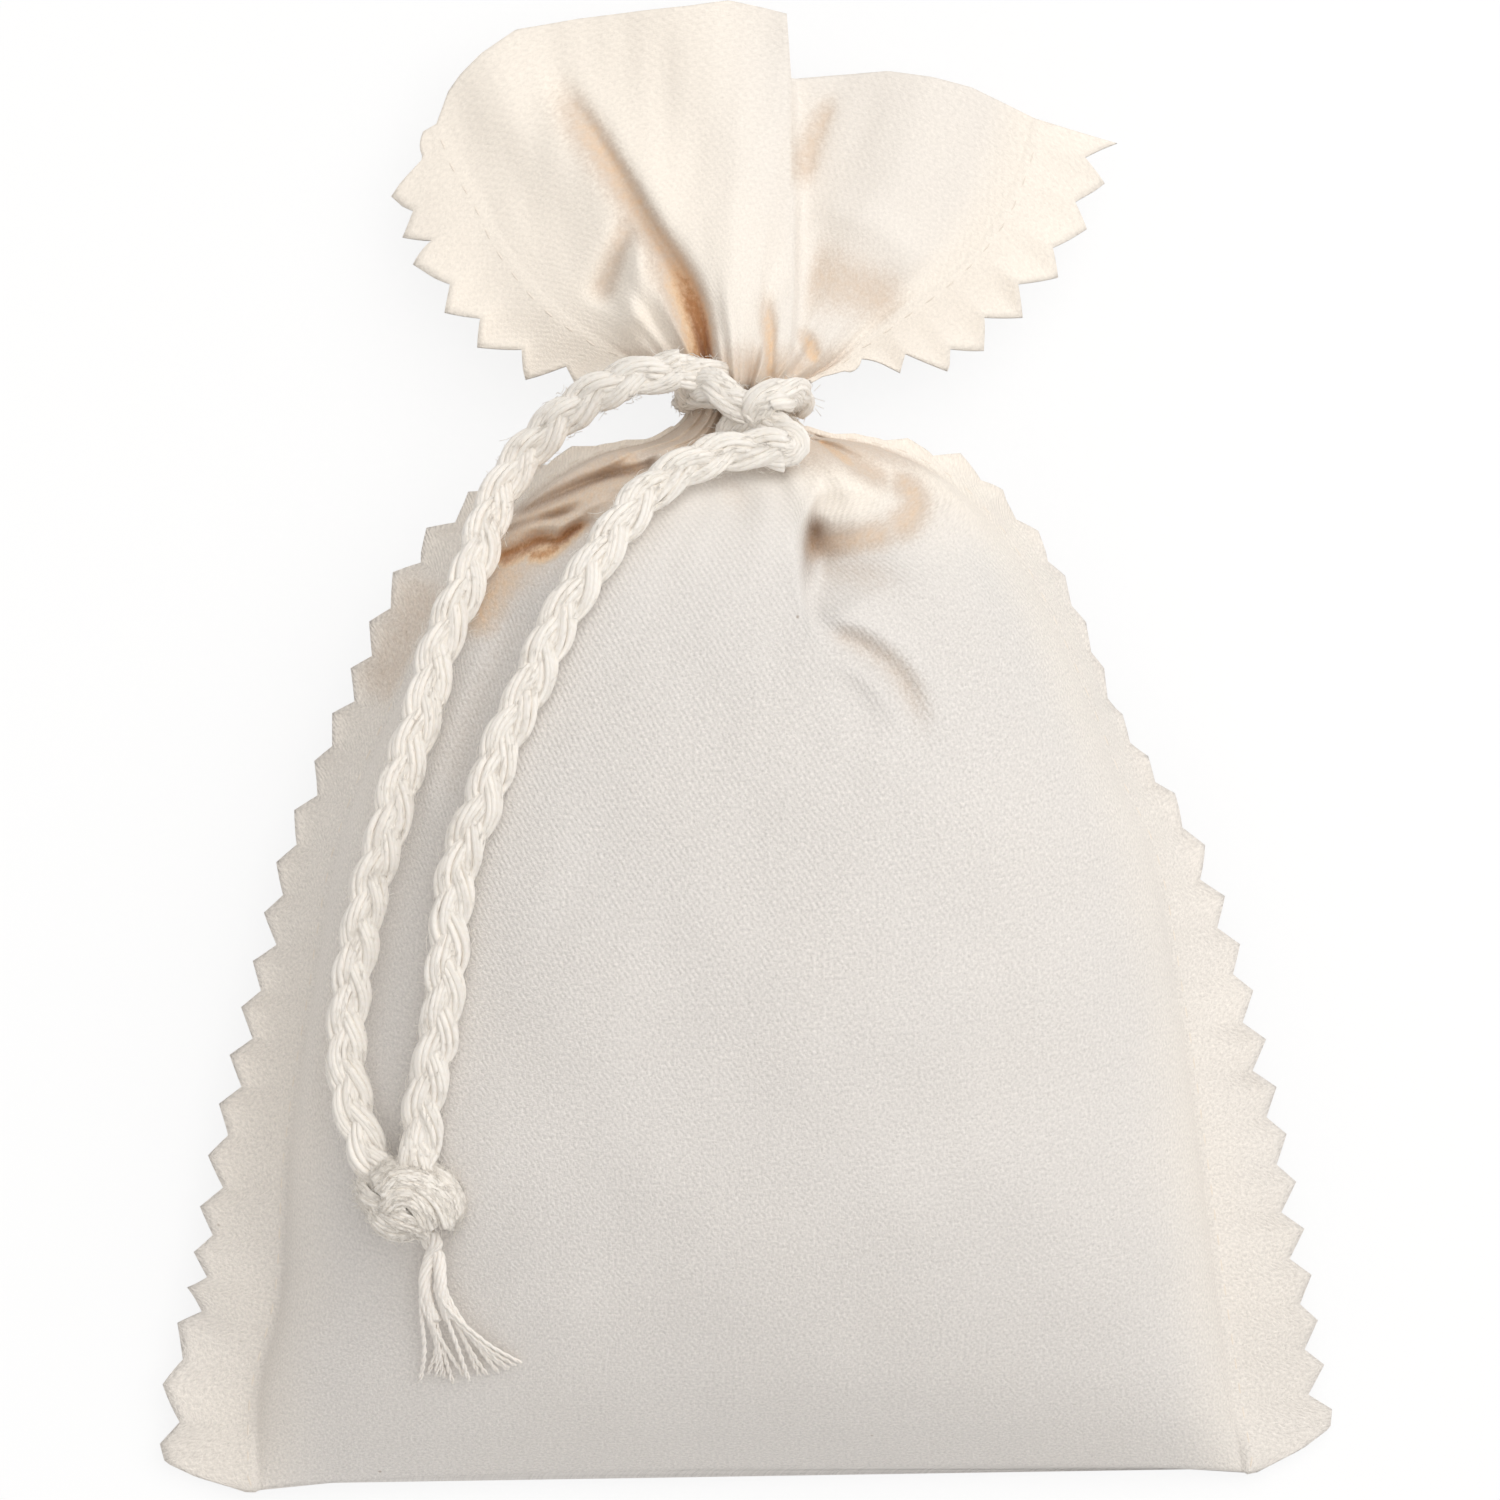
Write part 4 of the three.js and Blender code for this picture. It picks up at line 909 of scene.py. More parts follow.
    def _row_places(self, teeth: int, steps: int) -> np.ndarray:
        """Places from 0 to 1 that hit the tip and the notch of every tooth.

        Args:
            teeth: How many teeth.
            steps: How many rows for each.

        Returns:
            The places, in order.
        """
        low = round(steps * self.tooth_notch)
        one = np.concatenate([
            np.linspace(0, self.tooth_notch, low, endpoint=False),
            np.linspace(self.tooth_notch, 1, steps - low, endpoint=False)])
        return np.append((np.arange(teeth)[:, None] + one).ravel(), teeth) / teeth

    def lay(self) -> None:
        """Places every row of cloth: its seams, the direction and reach of its allowances, and its teeth."""
        body_length = self._body_seam(Side.LEFT).length
        frill_length = self._frill_seam(Side.LEFT).length
        body_teeth = round(body_length / self.tooth_pitch)
        frill_teeth = round(frill_length / (self.tooth_pitch * self.frill_pitch_share))
        body = self._row_places(body_teeth, self.tooth_rows)
        neck = np.linspace(0, 1, self.neck_rows + 1)[1:]
        frill = self._row_places(frill_teeth, self.tooth_rows)[1:]
        self.region = np.concatenate([np.full(len(part), k) for k, part in enumerate((body, neck, frill))])
        self.place = np.concatenate([body, neck, frill])
        self.seam, self.out, self.reach, self.tilt, self.tooth = {}, {}, {}, {}, {}
        self.run = np.concatenate([body * body_length, body_length + neck * self.neck_length,
                                   body_length + self.neck_length + frill * frill_length])
        for side in Side:
            left = side is Side.LEFT
            turn = 1 if left else -1
            low, high = self._body_seam(side), self._frill_seam(side)
            neck_line = np.array([self._neck_side(side, y) for y in self.neck_foot + neck * self.neck_length])
            self.seam[side] = np.vstack([low.at(body), neck_line, high.at(frill)])
            straight = np.tile([0.0, 1.0, 0.0], (len(neck), 1))
            along = np.vstack([low.along(body), straight, high.along(frill)])
            out = np.stack([-along[:, 1] * turn, along[:, 0] * turn, 0 * along[:, 0]], -1)
            self.out[side] = out / np.linalg.norm(out, axis=1, keepdims=True)
            reaches, tilts = (self.body_reach, self.right_frill_reach), (self.right_body_tilt, self.right_frill_tilt)
            if left:
                reaches, tilts = (self.body_reach, self.left_frill_reach), (self.left_body_tilt, self.left_frill_tilt)
            self.reach[side], tilt = (
                np.concatenate([between(below, body), np.full(len(neck), below[-1][1]), between(above, frill)])
                for below, above in (reaches, tilts))
            self.tilt[side] = np.radians(tilt)
            beat = np.concatenate([body * body_teeth, 0 * neck, frill * frill_teeth])
            part = beat % 1
            tooth = np.where(part < self.tooth_notch, part / self.tooth_notch, (1 - part) / (1 - self.tooth_notch))
            tooth = np.where((self.region == 0) & (beat < 1), 0.0, tooth)
            own = 1 + 0.15 * np.sin(beat.astype(int) * (2.4 if left else 1.7))
            own = own * np.where(self.region == 2, self.frill_tooth_share, 1.0)
            shown = np.maximum(np.cos(self.tilt[side]), 0.65)
            self.tooth[side] = tooth * own * np.minimum(1, 2 * self.reach[side]) / shown

    @staticmethod
    def _bulge(across: np.ndarray, roundness: np.ndarray, flatness: float = 2.0, steepness: float = 2.0) -> np.ndarray:
        """How high a section stands, from 0 at the seams to 1 in the middle."""
        off = np.minimum(1, np.abs(2 * across - 1))
        power = flatness + (2 - flatness) * roundness
        root = steepness + (2 - steepness) * roundness
        return (1 - off**power) ** (1 / root)

    @staticmethod
    def _three(values: tuple, place: np.ndarray) -> np.ndarray:
        """A value given at the start, half way and at the end, blended smoothly."""
        start, half, end = values
        first = start + (half - start) * smoothstep(2 * place, 0, 1)
        return np.where(place < 0.5, first, half + (end - half) * smoothstep(2 * place, 1, 2))

    def _pleat(self, across: np.ndarray) -> np.ndarray:
        """The gathers' height at every row and column.

        Args:
            across: Places from seam to seam, 0 to 1.

        Returns:
            The height at each point.
        """
        place, region = self.place[:, None], self.region[:, None]
        above = np.where(region == 1, 1.0, 1 - smoothstep(place, 0, 0.4))
        strength = np.where(region == 0, smoothstep(place, 0.78, 1), above)
        height = sum(size * np.cos(TURN * count * across + phase) for count, phase, size in self.pleats)
        return height * strength * self._bulge(across, 1.0)

    def _frill_fold(self, place: np.ndarray, across: np.ndarray) -> np.ndarray:
        """The frill's soft waves, alike in both layers.

        Args:
            place: Places up the frill, 0 to 1.
            across: Places from seam to seam, 0 to 1.

        Returns:
            The height at each point.
        """
        height = np.zeros(np.broadcast(place, across).shape)
        for places, wide, heights in self.frill_folds:
            off = (across - self._three(places, place)) / wide
            height += self._three(heights, place) * np.exp(-off * off)
        return self.frill_length * height * smoothstep(np.minimum(across, 1 - across), 0, 0.08)

    def _section(self, across: np.ndarray, layer: Layer, inset: float = 0.0) -> np.ndarray:
        """The points of one layer at these shares across each row.

        Args:
            across: Shares of the width, from the left seam to the right.
            layer: The front or the back.
            inset: How far the surface is moved inwards, in millimetres.

        Returns:
            An array of rows, columns and three coordinates.
        """
        left, right = self.seam[Side.LEFT][:, None], self.seam[Side.RIGHT][:, None]
        share = np.broadcast_to(across[None, :], (len(self.place), len(across)))
        at = left + (right - left) * share[:, :, None]
        place = self.place[:, None]
        body = self.region[:, None] == 0
        frill_place = np.where(self.region[:, None] == 2, place, 0.0)

        drawn_in = 1 - smoothstep(place, 0, 0.12)
        drawn = frill_place * (2 - frill_place)
        at[:, :, 1] += np.where(body, self.fold_rise * drawn_in * self._bulge(share, 1.0, 4.0), 0)
        at[:, :, 1] += np.where(body, 0, between(self.mouth, share) * self.frill_length * drawn)

        roundness = between(self.roundness, place)
        if layer is Layer.BACK:
            at[:, :, 1] += self.under_fold * drawn_in * self._bulge(share, 1.0, 4.0)
        if layer is Layer.FRONT:
            rise = eased(self.front_rise, place) * self.body_thickness - inset
            lift = np.maximum(rise, 0) * self._bulge(share, roundness, *self.front_curve)
            bag_z = at[:, :, 2] + np.maximum(lift + self._pleat(share), 0)
        else:
            floor = between(self.back_height, place) * self.body_thickness
            drop = np.maximum((at[:, :, 2] - floor) * self.back_overrun - inset, 0)
            bag_z = np.maximum(at[:, :, 2] - drop * self._bulge(share, roundness, *self.back_curve), floor + inset)
        opened = smoothstep(frill_place, 0, 0.5)
        half = (self.neck_depth / 2) * self._bulge(share, 1.0)
        flat = self.cloth_thickness + self.frill_gap / 2 * smoothstep(np.minimum(share, 1 - share), 0, 0.25)
        half = half + (flat - half) * opened - inset
        dome = 0.5 * (1 - (2 * share - 1) ** 2) + 0.5 * np.sin(np.pi * share) ** 2
        middle = at[:, :, 2] + np.where(body, 0, self.frill_arch * self.frill_length * drawn * dome)
        middle += np.where(body, 0, self._frill_fold(frill_place, share))
        frill_z = middle + layer.value * np.maximum(half + (self._pleat(share) if inset == 0 else 0), 0)
        at[:, :, 2] = np.where(body, bag_z, frill_z)
        return at

    def _columns(self, count: int) -> np.ndarray:
        """Shares across the cloth, closer together beside the seams, with both edges of the mouth's step.

        Args:
            count: How many columns.

        Returns:
            The shares, from 0 to 1.
        """
        even = np.linspace(0, 1, count)
        shares = (even + (1 - np.cos(np.pi * even)) / 2) / 2
        step = int(np.argmin(np.abs(shares - self.mouth_step[0])))
        shares[step : step + 2] = self.mouth_step
        return shares

    def _ridge(self, side: Side) -> np.ndarray:
        """How high the sewn seam's ridge stands at each row; it is lower on the frill."""
        share = np.where(self.region == 2, self.frill_ridge_share, 1.0)
        return self.ridge_height * share * np.minimum(self.reach[side], 1)

    def _allowance(self, side: Side) -> tuple[np.ndarray, np.ndarray]:
        """The allowance's upper and lower points from the seam to the pinked edge.

        Args:
            side: Which side seam.

        Returns:
            Two arrays of rows, columns and three coordinates. The lower face lies straight under the upper.
        """
        shares = np.linspace(0, 1, self.allowance_columns + 1)[None, 1:]
        tilt = self.tilt[side][:, None]
        flat = self.out[side]
        whole = self.reach[side][:, None]
        reach = self.allowance * whole - self.tooth[side][:, None] * self.tooth_depth
        waves = Unevenness(11 if side is Side.LEFT else 12, 15.0)
        dip = waves.at(self.run[:, None], 9.0 * shares) * 0.6 * shares * np.minimum(whole, 1)
        roll = self._ridge(side)[:, None] * np.exp(-((reach * shares / self.ridge_width) ** 2))
        bend = 0.35 * shares**2
        away = (np.cos(tilt) * (1 + 0.2 * bend) * reach * shares)[..., None]
        points = self.seam[side][:, None, :] + flat[:, None, :] * away
        points[:, :, 2] += dip + roll - np.sin(tilt) * (1 - bend) * reach * shares
        up = flat * np.sin(self.tilt[side])[:, None] + np.array([0, 0, 1.0]) * np.cos(self.tilt[side])[:, None]
        top = points + up[:, None, :] * self.cloth_thickness
        top[:, :, 2] = np.maximum(top[:, :, 2], 0.9)
        under = top.copy()
        under[:, :, 2] -= 2 * self.cloth_thickness / np.maximum(np.cos(tilt), 0.6)
        return top, np.maximum(under, [-1e3, -1e3, 0.0])

    def _fold_all(self, front: np.ndarray, back: np.ndarray) -> tuple[np.ndarray, np.ndarray]:
        """Presses the body's folds into the front, and the frill's into both layers.

        Args:
            front: The front's points, which this moves.
            back: The back's points, which this moves.

        Returns:
            How much painted warm shade and how much painted dark shade the front takes at each point, from 0 to 1.
        """
        tan, shade = np.zeros((2, *front.shape[:2]))
        into_neck = np.where(self.region == 1, smoothstep(self.place, 0.3, 0.9), self.region == 2)
        for strokes, held in ((self.folds, 1.0 - into_neck), (self.frill_strokes, into_neck)):
            for fold in strokes:
                for points in (front, back) if strokes is self.frill_strokes else (front,):
                    across = self._columns(points.shape[1])[None, :]
                    keep = held[:, None] * smoothstep(np.minimum(across, 1 - across), 0, 0.03)
                    lift, colour = fold.press(points[:, :, 0], points[:, :, 1])
                    points[:, :, 2] += lift * keep
                    if points is front:
                        tan = np.maximum(tan, fold.tan * colour * held[:, None])
                        shade = np.maximum(shade, fold.shade * colour * held[:, None])
        # The gathers round the neck take painted warm shade too
        off_neck = np.maximum(self.neck_foot - 1.5 - front[:, :, 1], front[:, :, 1] - self.neck_top - 0.5)
        return np.maximum(tan, 0.4 * (1 - smoothstep(off_neck, 0, 5.0))), shade

    def _keep_apart(self, front: np.ndarray, back: np.ndarray) -> None:
        """Keeps the frill's back below its front, which steps down beside the crease.

        Args:
            front: The front's points.
            back: The back's points, which it lowers.
        """
        shares, own = self._columns(front.shape[1]), self._columns(back.shape[1])
        reach = self.apart_reach
        for row in np.flatnonzero(self.region == 2):
            near = [np.interp(own + off, shares, front[row, :, 2]) for off in np.linspace(-reach, reach, 9)]
            back[row, :, 2] = np.minimum(back[row, :, 2], np.min(near, 0) - self.cloth_thickness)

    def drape(self) -> None:
        """Works out the outer skin: the front, the back and the four faces of the allowances."""
        self.lay()
        shares = self._columns(self.front_columns)
        front = self._section(shares, Layer.FRONT)
        back = self._section(self._columns(self.back_columns), Layer.BACK)
        self.tan, self.shade = self._fold_all(front, back)
        self._keep_apart(front, back)
        u = np.broadcast_to((shares * self.seam_width)[None, :], front.shape[:2])
        run = np.broadcast_to(self.run[:, None], front.shape[:2])
        soft = Unevenness(3, 24.0).at(u, run) * 0.3 + Unevenness(4, 7.0).at(u, run) * 0.06
        inner = smoothstep(np.minimum(shares, 1 - shares), 0, 0.05)[None, :]
        front[:, :, 2] += soft * inner * (self.region != 1)[:, None]
        half = self.cloth_thickness
        for column, side in ((0, Side.LEFT), (-1, Side.RIGHT)):
            front[:, column, 2] = self.seam[side][:, 2] + half + self._ridge(side)
            back[:, column, 2] = np.maximum(self.seam[side][:, 2] - half, 0)
        back[:, :, 2] = np.maximum(back[:, :, 2], 0)
        right_top, right_under = self._allowance(Side.RIGHT)
        left_top, left_under = self._allowance(Side.LEFT)
        self.front = front
        self.skin = np.concatenate(
            [front, right_top, right_under[:, ::-1], back[:, ::-1], left_under, left_top[:, ::-1]], axis=1)

    def build(self) -> bpy.types.Object:
        """Builds the draped cloth as one closed skin, with its mouth open.

        Returns:
            The cloth's piece.
        """
        rows, columns = self.skin.shape[:2]
        faces = [grid_faces(rows, columns, closed=True), [list(range(columns))[::-1]]]
        tan, shade = np.zeros((2, rows, columns))
        tan[:, : self.front_columns] = self.tan
        shade[:, : self.front_columns] = self.shade
        flap = self.skin[:, -self.allowance_columns :]
        # The left allowance takes painted warm shade
        tan[:, -self.allowance_columns :] = 0.3 * self.allowance_painted_shade.press(flap[:, :, 0], flap[:, :, 1])[1]
        points, more, extra = self._inside()
        places = np.vstack([self._cloth_places().reshape(-1, 3), extra])
        spare = len(points) - tan.size
        piece = mesh_piece("bag_shell", points, [f for part in faces + more for f in part])
        note_on_mesh(piece, "cloth_place", places)
        # The lining inside the mouth takes a little painted warm shade
        note_on_mesh(piece, "fold_warm_shade", np.concatenate([tan.ravel(), np.full(spare, 0.2)]))
        note_on_mesh(piece, "fold_shade", np.concatenate([shade.ravel(), np.zeros(spare)]))
        note_on_mesh(piece, "warmth_and_painted_light", np.concatenate([self._warmth_and_painted_light().ravel(), np.full(spare, 0.9)]))
        return piece

    def _cloth_places(self) -> np.ndarray:
        """Where every point of the outer skin lies on the flat cloth, in millimetres along its own surface.

        Returns:
            One place for each point.
        """
        rows, columns = self.skin.shape[:2]
        wide, front, back = self.allowance_columns, self.front_columns, self.back_columns
        places = np.zeros((rows, columns, 3))
        middle_run = run_along(self.front[:, front // 2])
        even = np.hanning(33)[1:-1] / np.hanning(33).sum()

        def smoothed(one: np.ndarray) -> np.ndarray:
            """One column of steps, evened out along the bag."""
            return np.convolve(np.pad(one, 15, mode="edge"), even, mode="valid")

        for first, count in ((-wide, front + 2 * wide), (front + wide, back + 2 * wide)):
            ring = np.arange(first, first + count) % columns
            line = self.skin[:, ring]
            steps = np.linalg.norm(np.diff(line, axis=1), axis=2)
            steps = np.apply_along_axis(smoothed, 0, steps)
            u = np.concatenate([np.zeros((rows, 1)), np.cumsum(steps, axis=1)], axis=1)
            u -= u[:, count // 2][:, None]
            side = np.clip(np.abs(2 * (np.arange(count) - wide) / (count - 2 * wide - 1) - 1), 0, 1) ** 2
            v = middle_run[:, None] * (1 - side) + self.run[:, None] * side
            x, y = line[:, :, 0] - self.neck_offset, line[:, :, 1] - self.neck_foot + self.fan_drop
            fanned = np.where(self.region == 1, self.place, self.region == 2)[:, None]
            u += (self.fan_radius * np.arctan2(x, y) - u) * fanned
            v += (middle_run[self.region == 1][0] + np.hypot(x, y) - v) * fanned
            places[:, ring, 0] = u if count == front + 2 * wide else -u
            places[:, ring, 1] = v
        return places

    def _warmth_and_painted_light(self) -> np.ndarray:
        """How warm and how light the cotton is: the frill, the shoulders and the allowances are warmer and lighter than
        the body, partly the cotton's tone and partly painted light, most of all on the left allowance; the spot on the
        puff is a painted highlight.

        Returns:
            A number from 0 to 1 for each point.
        """
        y = self.skin[:, :, 1]
        warm = self.body_warmth + self.neck_warmth * smoothstep(y, self.neck_foot - 16, self.neck_top + 6)
        count, wide = self.front_columns, self.allowance_columns
        shares = self._columns(count)
        near = 1 - smoothstep(np.minimum(shares, 1 - shares), 0, 0.09)
        warm[:, :count] += self.edge_warmth * near[None, :]
        warm[:, count : count + 2 * wide] += self.edge_warmth
        warm -= 0.35 * smoothstep(y, self.neck_foot, self.neck_top + 4) * smoothstep(self.skin[:, :, 0], -10, 6)
        # Painted light on the left allowance, which faces away from the lamp
        warm[:, -2 * wide :] += self.left_flap_painted_light
        # Warm spots; the one on the puff is a painted highlight
        for x, near_y, size, more in self.warm_and_highlight_spots:
            off = (self.skin[:, :count, 0] - x) ** 2 + (y[:, :count] - near_y) ** 2
            warm[:, :count] += more * np.exp(-off / size**2)
        return np.clip(warm, 0, 1)

    def _inside(self) -> tuple[np.ndarray, list, np.ndarray]:
        """Lines the mouth down to the neck.

        Returns:
            All points, the added faces, and the added points' places on the flat cloth.
        """
        rows, columns = self.skin.shape[:2]
        wide, front_count, back_count = self.allowance_columns, self.front_columns, self.back_columns
        shares = self._columns(back_count)
        frill_rows = int(np.sum(self.region == 2))
        inner_rows = np.arange(rows - 1, rows - frill_rows + frill_rows // 5, -2)
        front = self._section(shares, Layer.FRONT)[inner_rows]
        step = int(np.searchsorted(shares, self.mouth_step[0]))
        front[:, step : step + 2, 0] -= self.cloth_thickness
        back = front.copy()
        for k, row in enumerate(inner_rows):
            outer = self.skin[row, :front_count, 2]
            near = [np.interp(shares + off, self._columns(front_count), outer) for off in (-0.025, 0, 0.025)]
            top = np.min(near, 0)
            low = self.skin[row, front_count + 2 * wide : front_count + 2 * wide + back_count, 2][::-1]
            middle = (top + low) / 2
            front[k, :, 2] = np.maximum(top - self.cloth_thickness, middle + 0.05)
            back[k, :, 2] = np.minimum(low + self.cloth_thickness, middle - 0.05)
        start = rows * columns
        loops = np.concatenate([front, back[:, ::-1]], axis=1)
        count = loops.shape[1]
        faces = [
            grid_faces(len(inner_rows), count, start, closed=True),
            [list(range(start + (len(inner_rows) - 1) * count, start + len(inner_rows) * count))]]
        edge = list(range((rows - 1) * columns, rows * columns))
        turned = front_count + 2 * wide
        front_edge, right_edge = edge[:front_count], edge[front_count:turned]
        back_edge, left_edge = edge[turned : turned + back_count], edge[-2 * wide :]
        inner_front = list(range(start, start + back_count))
        inner_back = list(range(start + back_count, start + 2 * back_count))
        faces.append(self._rim(front_edge, inner_front, self._columns(front_count), shares))
        faces.append(self._rim(back_edge, inner_back, 1 - shares[::-1], 1 - shares[::-1]))
        faces.append(self._flap_edge(front_edge[-1], right_edge, back_edge[0], inner_front[-1], inner_back[0]))
        faces.append(self._flap_edge(back_edge[-1], left_edge, front_edge[0], inner_back[-1], inner_front[0]))
        added = np.zeros((len(loops) * count, 3))
        added[:, 0] = np.tile(np.concatenate([shares, shares[::-1]]) * self.seam_width, len(loops))
        added[:, 1] = np.repeat(self.run[inner_rows], count)
        return np.vstack([self.skin.reshape(-1, 3), loops.reshape(-1, 3)]), faces, added

    @staticmethod
    def _rim(edge: list[int], inner: list[int], places: np.ndarray, inner_places: np.ndarray) -> list[list[int]]:
        """Faces between two rows of points of different counts, both running the same way over these places.

        Args:
            edge: The outer row's points.
            inner: The inner row's points.
            places: Where the outer ones lie, from 0 to 1.
            inner_places: Where the inner ones lie.

        Returns:
            The faces.
        """
        faces = []
        i = j = 0
        while i < len(edge) - 1 or j < len(inner) - 1:
            ahead_outer = places[i + 1] if i < len(edge) - 1 else 2.0
            ahead_inner = inner_places[j + 1] if j < len(inner) - 1 else 2.0
            if ahead_outer <= ahead_inner:
                faces.append([edge[i], edge[i + 1], inner[j]])
                i += 1
            else:
                faces.append([edge[i], inner[j + 1], inner[j]])
                j += 1
        return faces

    @staticmethod
    def _flap_edge(before: int, edge: list[int], after: int, inner_a: int, inner_b: int) -> list[list[int]]:
        """The cut end of an allowance at the mouth, as quads between its two faces.

        Args:
            before: The point before the cut end.
            edge: The points of the cut end.
            after: The point after it.
            inner_a: The lining's point beside the first.
            inner_b: The lining's point beside the last.

        Returns:
            The faces.
        """
        ring = [before, *edge, after]
        faces = [[inner_a, ring[0], ring[-1], inner_b]]
        for k in range(len(ring) // 2 - 1):
            faces.append([ring[k], ring[k + 1], ring[-2 - k], ring[-1 - k]])
        return faces

    def filling(self) -> bpy.types.Object:
        """The heap of buds inside, clear of every fold of the cloth.

        Returns:
            The heap's piece.
        """
        shares = self._columns(self.filling_columns)
        low, high = self.filling_room
        rows = np.flatnonzero((self.region == 0) & (self.place > low) & (self.place < high))[::4]
        shares = 0.08 + 0.84 * shares
        front = self._section(shares, Layer.FRONT, self.filling_gap)[rows]
        back = self._section(shares, Layer.BACK, 1.0)[rows]
        back[:, :, 2] = np.minimum(back[:, :, 2], front[:, :, 2] - 0.5)
        loops = np.concatenate([front, back[:, ::-1]], axis=1)
        count = loops.shape[1]
        faces = [*grid_faces(len(rows), count, closed=True), list(range(count))[::-1],
                 list(range((len(rows) - 1) * count, len(rows) * count))]
        return mesh_piece("lavender_heap", loops.reshape(-1, 3), faces)

    def edge_of_allowance(self, side: Side, layer: Layer) -> tuple[np.ndarray, np.ndarray]:
        """The seam's points on one face of the cloth, and the allowance's first points beside them.

        Args:
            side: The side.
            layer: The face of the cloth.

        Returns:
            Both rows of points.
        """
        count, wide, columns = self.front_columns, self.allowance_columns, self.skin.shape[1]
        picks = {
            (Side.RIGHT, Layer.FRONT): (count - 1, count),
            (Side.RIGHT, Layer.BACK): (count + 2 * wide, count + 2 * wide - 1),
            (Side.LEFT, Layer.FRONT): (0, columns - 1),
            (Side.LEFT, Layer.BACK): (columns - 2 * wide - 1, columns - 2 * wide),
        }
        seam, first = picks[side, layer]
        return self.skin[:, seam], self.skin[:, first]

    def top_at(self, x: float, y: float) -> float:
        """The height of the front of the cloth at a place, in millimetres."""
        off = (self.front[:, :, 0] - x) ** 2 + (self.front[:, :, 1] - y) ** 2
        return float(self.front[:, :, 2].ravel()[np.argmin(off)])


def sweep(centre: np.ndarray, radius: Union[float, np.ndarray], sides: int, run: np.ndarray) -> Tube:
    """A closed tube along a centreline.

    Args:
        centre: The centreline's points.
        radius: The tube's radius, one for all or one for each point.
        sides: How many sides it has.
        run: How far along each point lies.

    Returns:
        The points, the faces as quads, with a repeated corner at the ends, and each point's place along and round.
    """
    ahead = np.gradient(centre, axis=0)
    ahead /= np.linalg.norm(ahead, axis=1, keepdims=True) + 1e-12
    guide = np.array([0.13, 0.21, 0.97])
    if abs(ahead[0] @ guide) > 0.9:
        guide = np.array([0.97, 0.13, 0.21])
    first = np.cross(ahead, guide)
    first /= np.linalg.norm(first, axis=1, keepdims=True) + 1e-12
    second = np.cross(ahead, first)
    turn = TURN * np.arange(sides) / sides
    size = np.broadcast_to(np.asarray(radius, dtype=float), (len(centre),))[:, None, None]
    rings = centre[:, None, :] + size * (
        first[:, None, :] * np.cos(turn)[None, :, None] + second[:, None, :] * np.sin(turn)[None, :, None]
    )
    points = np.vstack([rings.reshape(-1, 3), centre[:1], centre[-1:]])
    places = np.zeros((len(points), 3))
    places[:-2, 0] = np.repeat(run, sides)
    places[:-2, 1] = np.tile(np.arange(sides) / sides, len(centre))
    places[-2:, 0] = run[0], run[-1]
    return points, capped_faces(len(centre), sides), places


def gathered(parts: Sequence[Tube]) -> Tube:
    """Several tubes as one."""
    first = np.cumsum([0] + [len(points) for points, _, _ in parts])
    faces = [some + start for (_, some, _), start in zip(parts, first)]
    return np.vstack([p for p, _, _ in parts]), np.vstack(faces), np.vstack([n for _, _, n in parts])


def yarn_piece(name: str, parts: Sequence[Tube], finish: bpy.types.Material) -> bpy.types.Object:
    """One object from several swept parts, dressed in a yarn finish.

    Args:
        name: The piece's name.
        parts: Points, faces and places of each part.
        finish: Its material.

    Returns:
        The object.
    """
    points, faces, places = gathered(parts)
    clean = [list(dict.fromkeys(face)) for face in faces.tolist()]
    piece = mesh_piece(name, points, clean)
    note_on_mesh(piece, "yarn_place", places)
    piece.data.materials.append(finish)
    return piece


@dataclass
class StrayFibres:
    """Fine cotton fibres that stand off a yarn, which make it look soft."""

    seed: int
    radius: float = 0.032
    reach: tuple = (0.4, 1.3)
    lean: float = 0.4

    def build(self, roots: np.ndarray, outward: np.ndarray, ahead: np.ndarray) -> Tube:
        """Grows one fibre from each root.

        Args:
            roots: Where the fibres start, in millimetres.
            outward: The direction away from the yarn at each root.
            ahead: The yarn's direction at each root.

        Returns:
            All fibres as one tube set.
        """
        draw = np.random.default_rng(self.seed)
        parts = []
        for root, out, way in zip(roots, outward, ahead):
            flow = way * draw.choice((-1, 1)) * draw.uniform(0.4, 1.2)
            reach = draw.uniform(*self.reach)
            lean = draw.normal(0, self.lean, 3)
            bend = root + (flow + out * 0.4 + lean * 0.3) * reach * 0.5
            tip = bend + (flow * 0.8 + out * 0.12 + lean) * reach * 0.5
            centre = Route([root, bend, tip], 3).line
            points, faces, places = sweep(centre, self.radius, 3, np.linspace(0, reach, len(centre)))
            places[:, 2] = 90.0
            parts.append((points, faces, places))
        return gathered(parts)


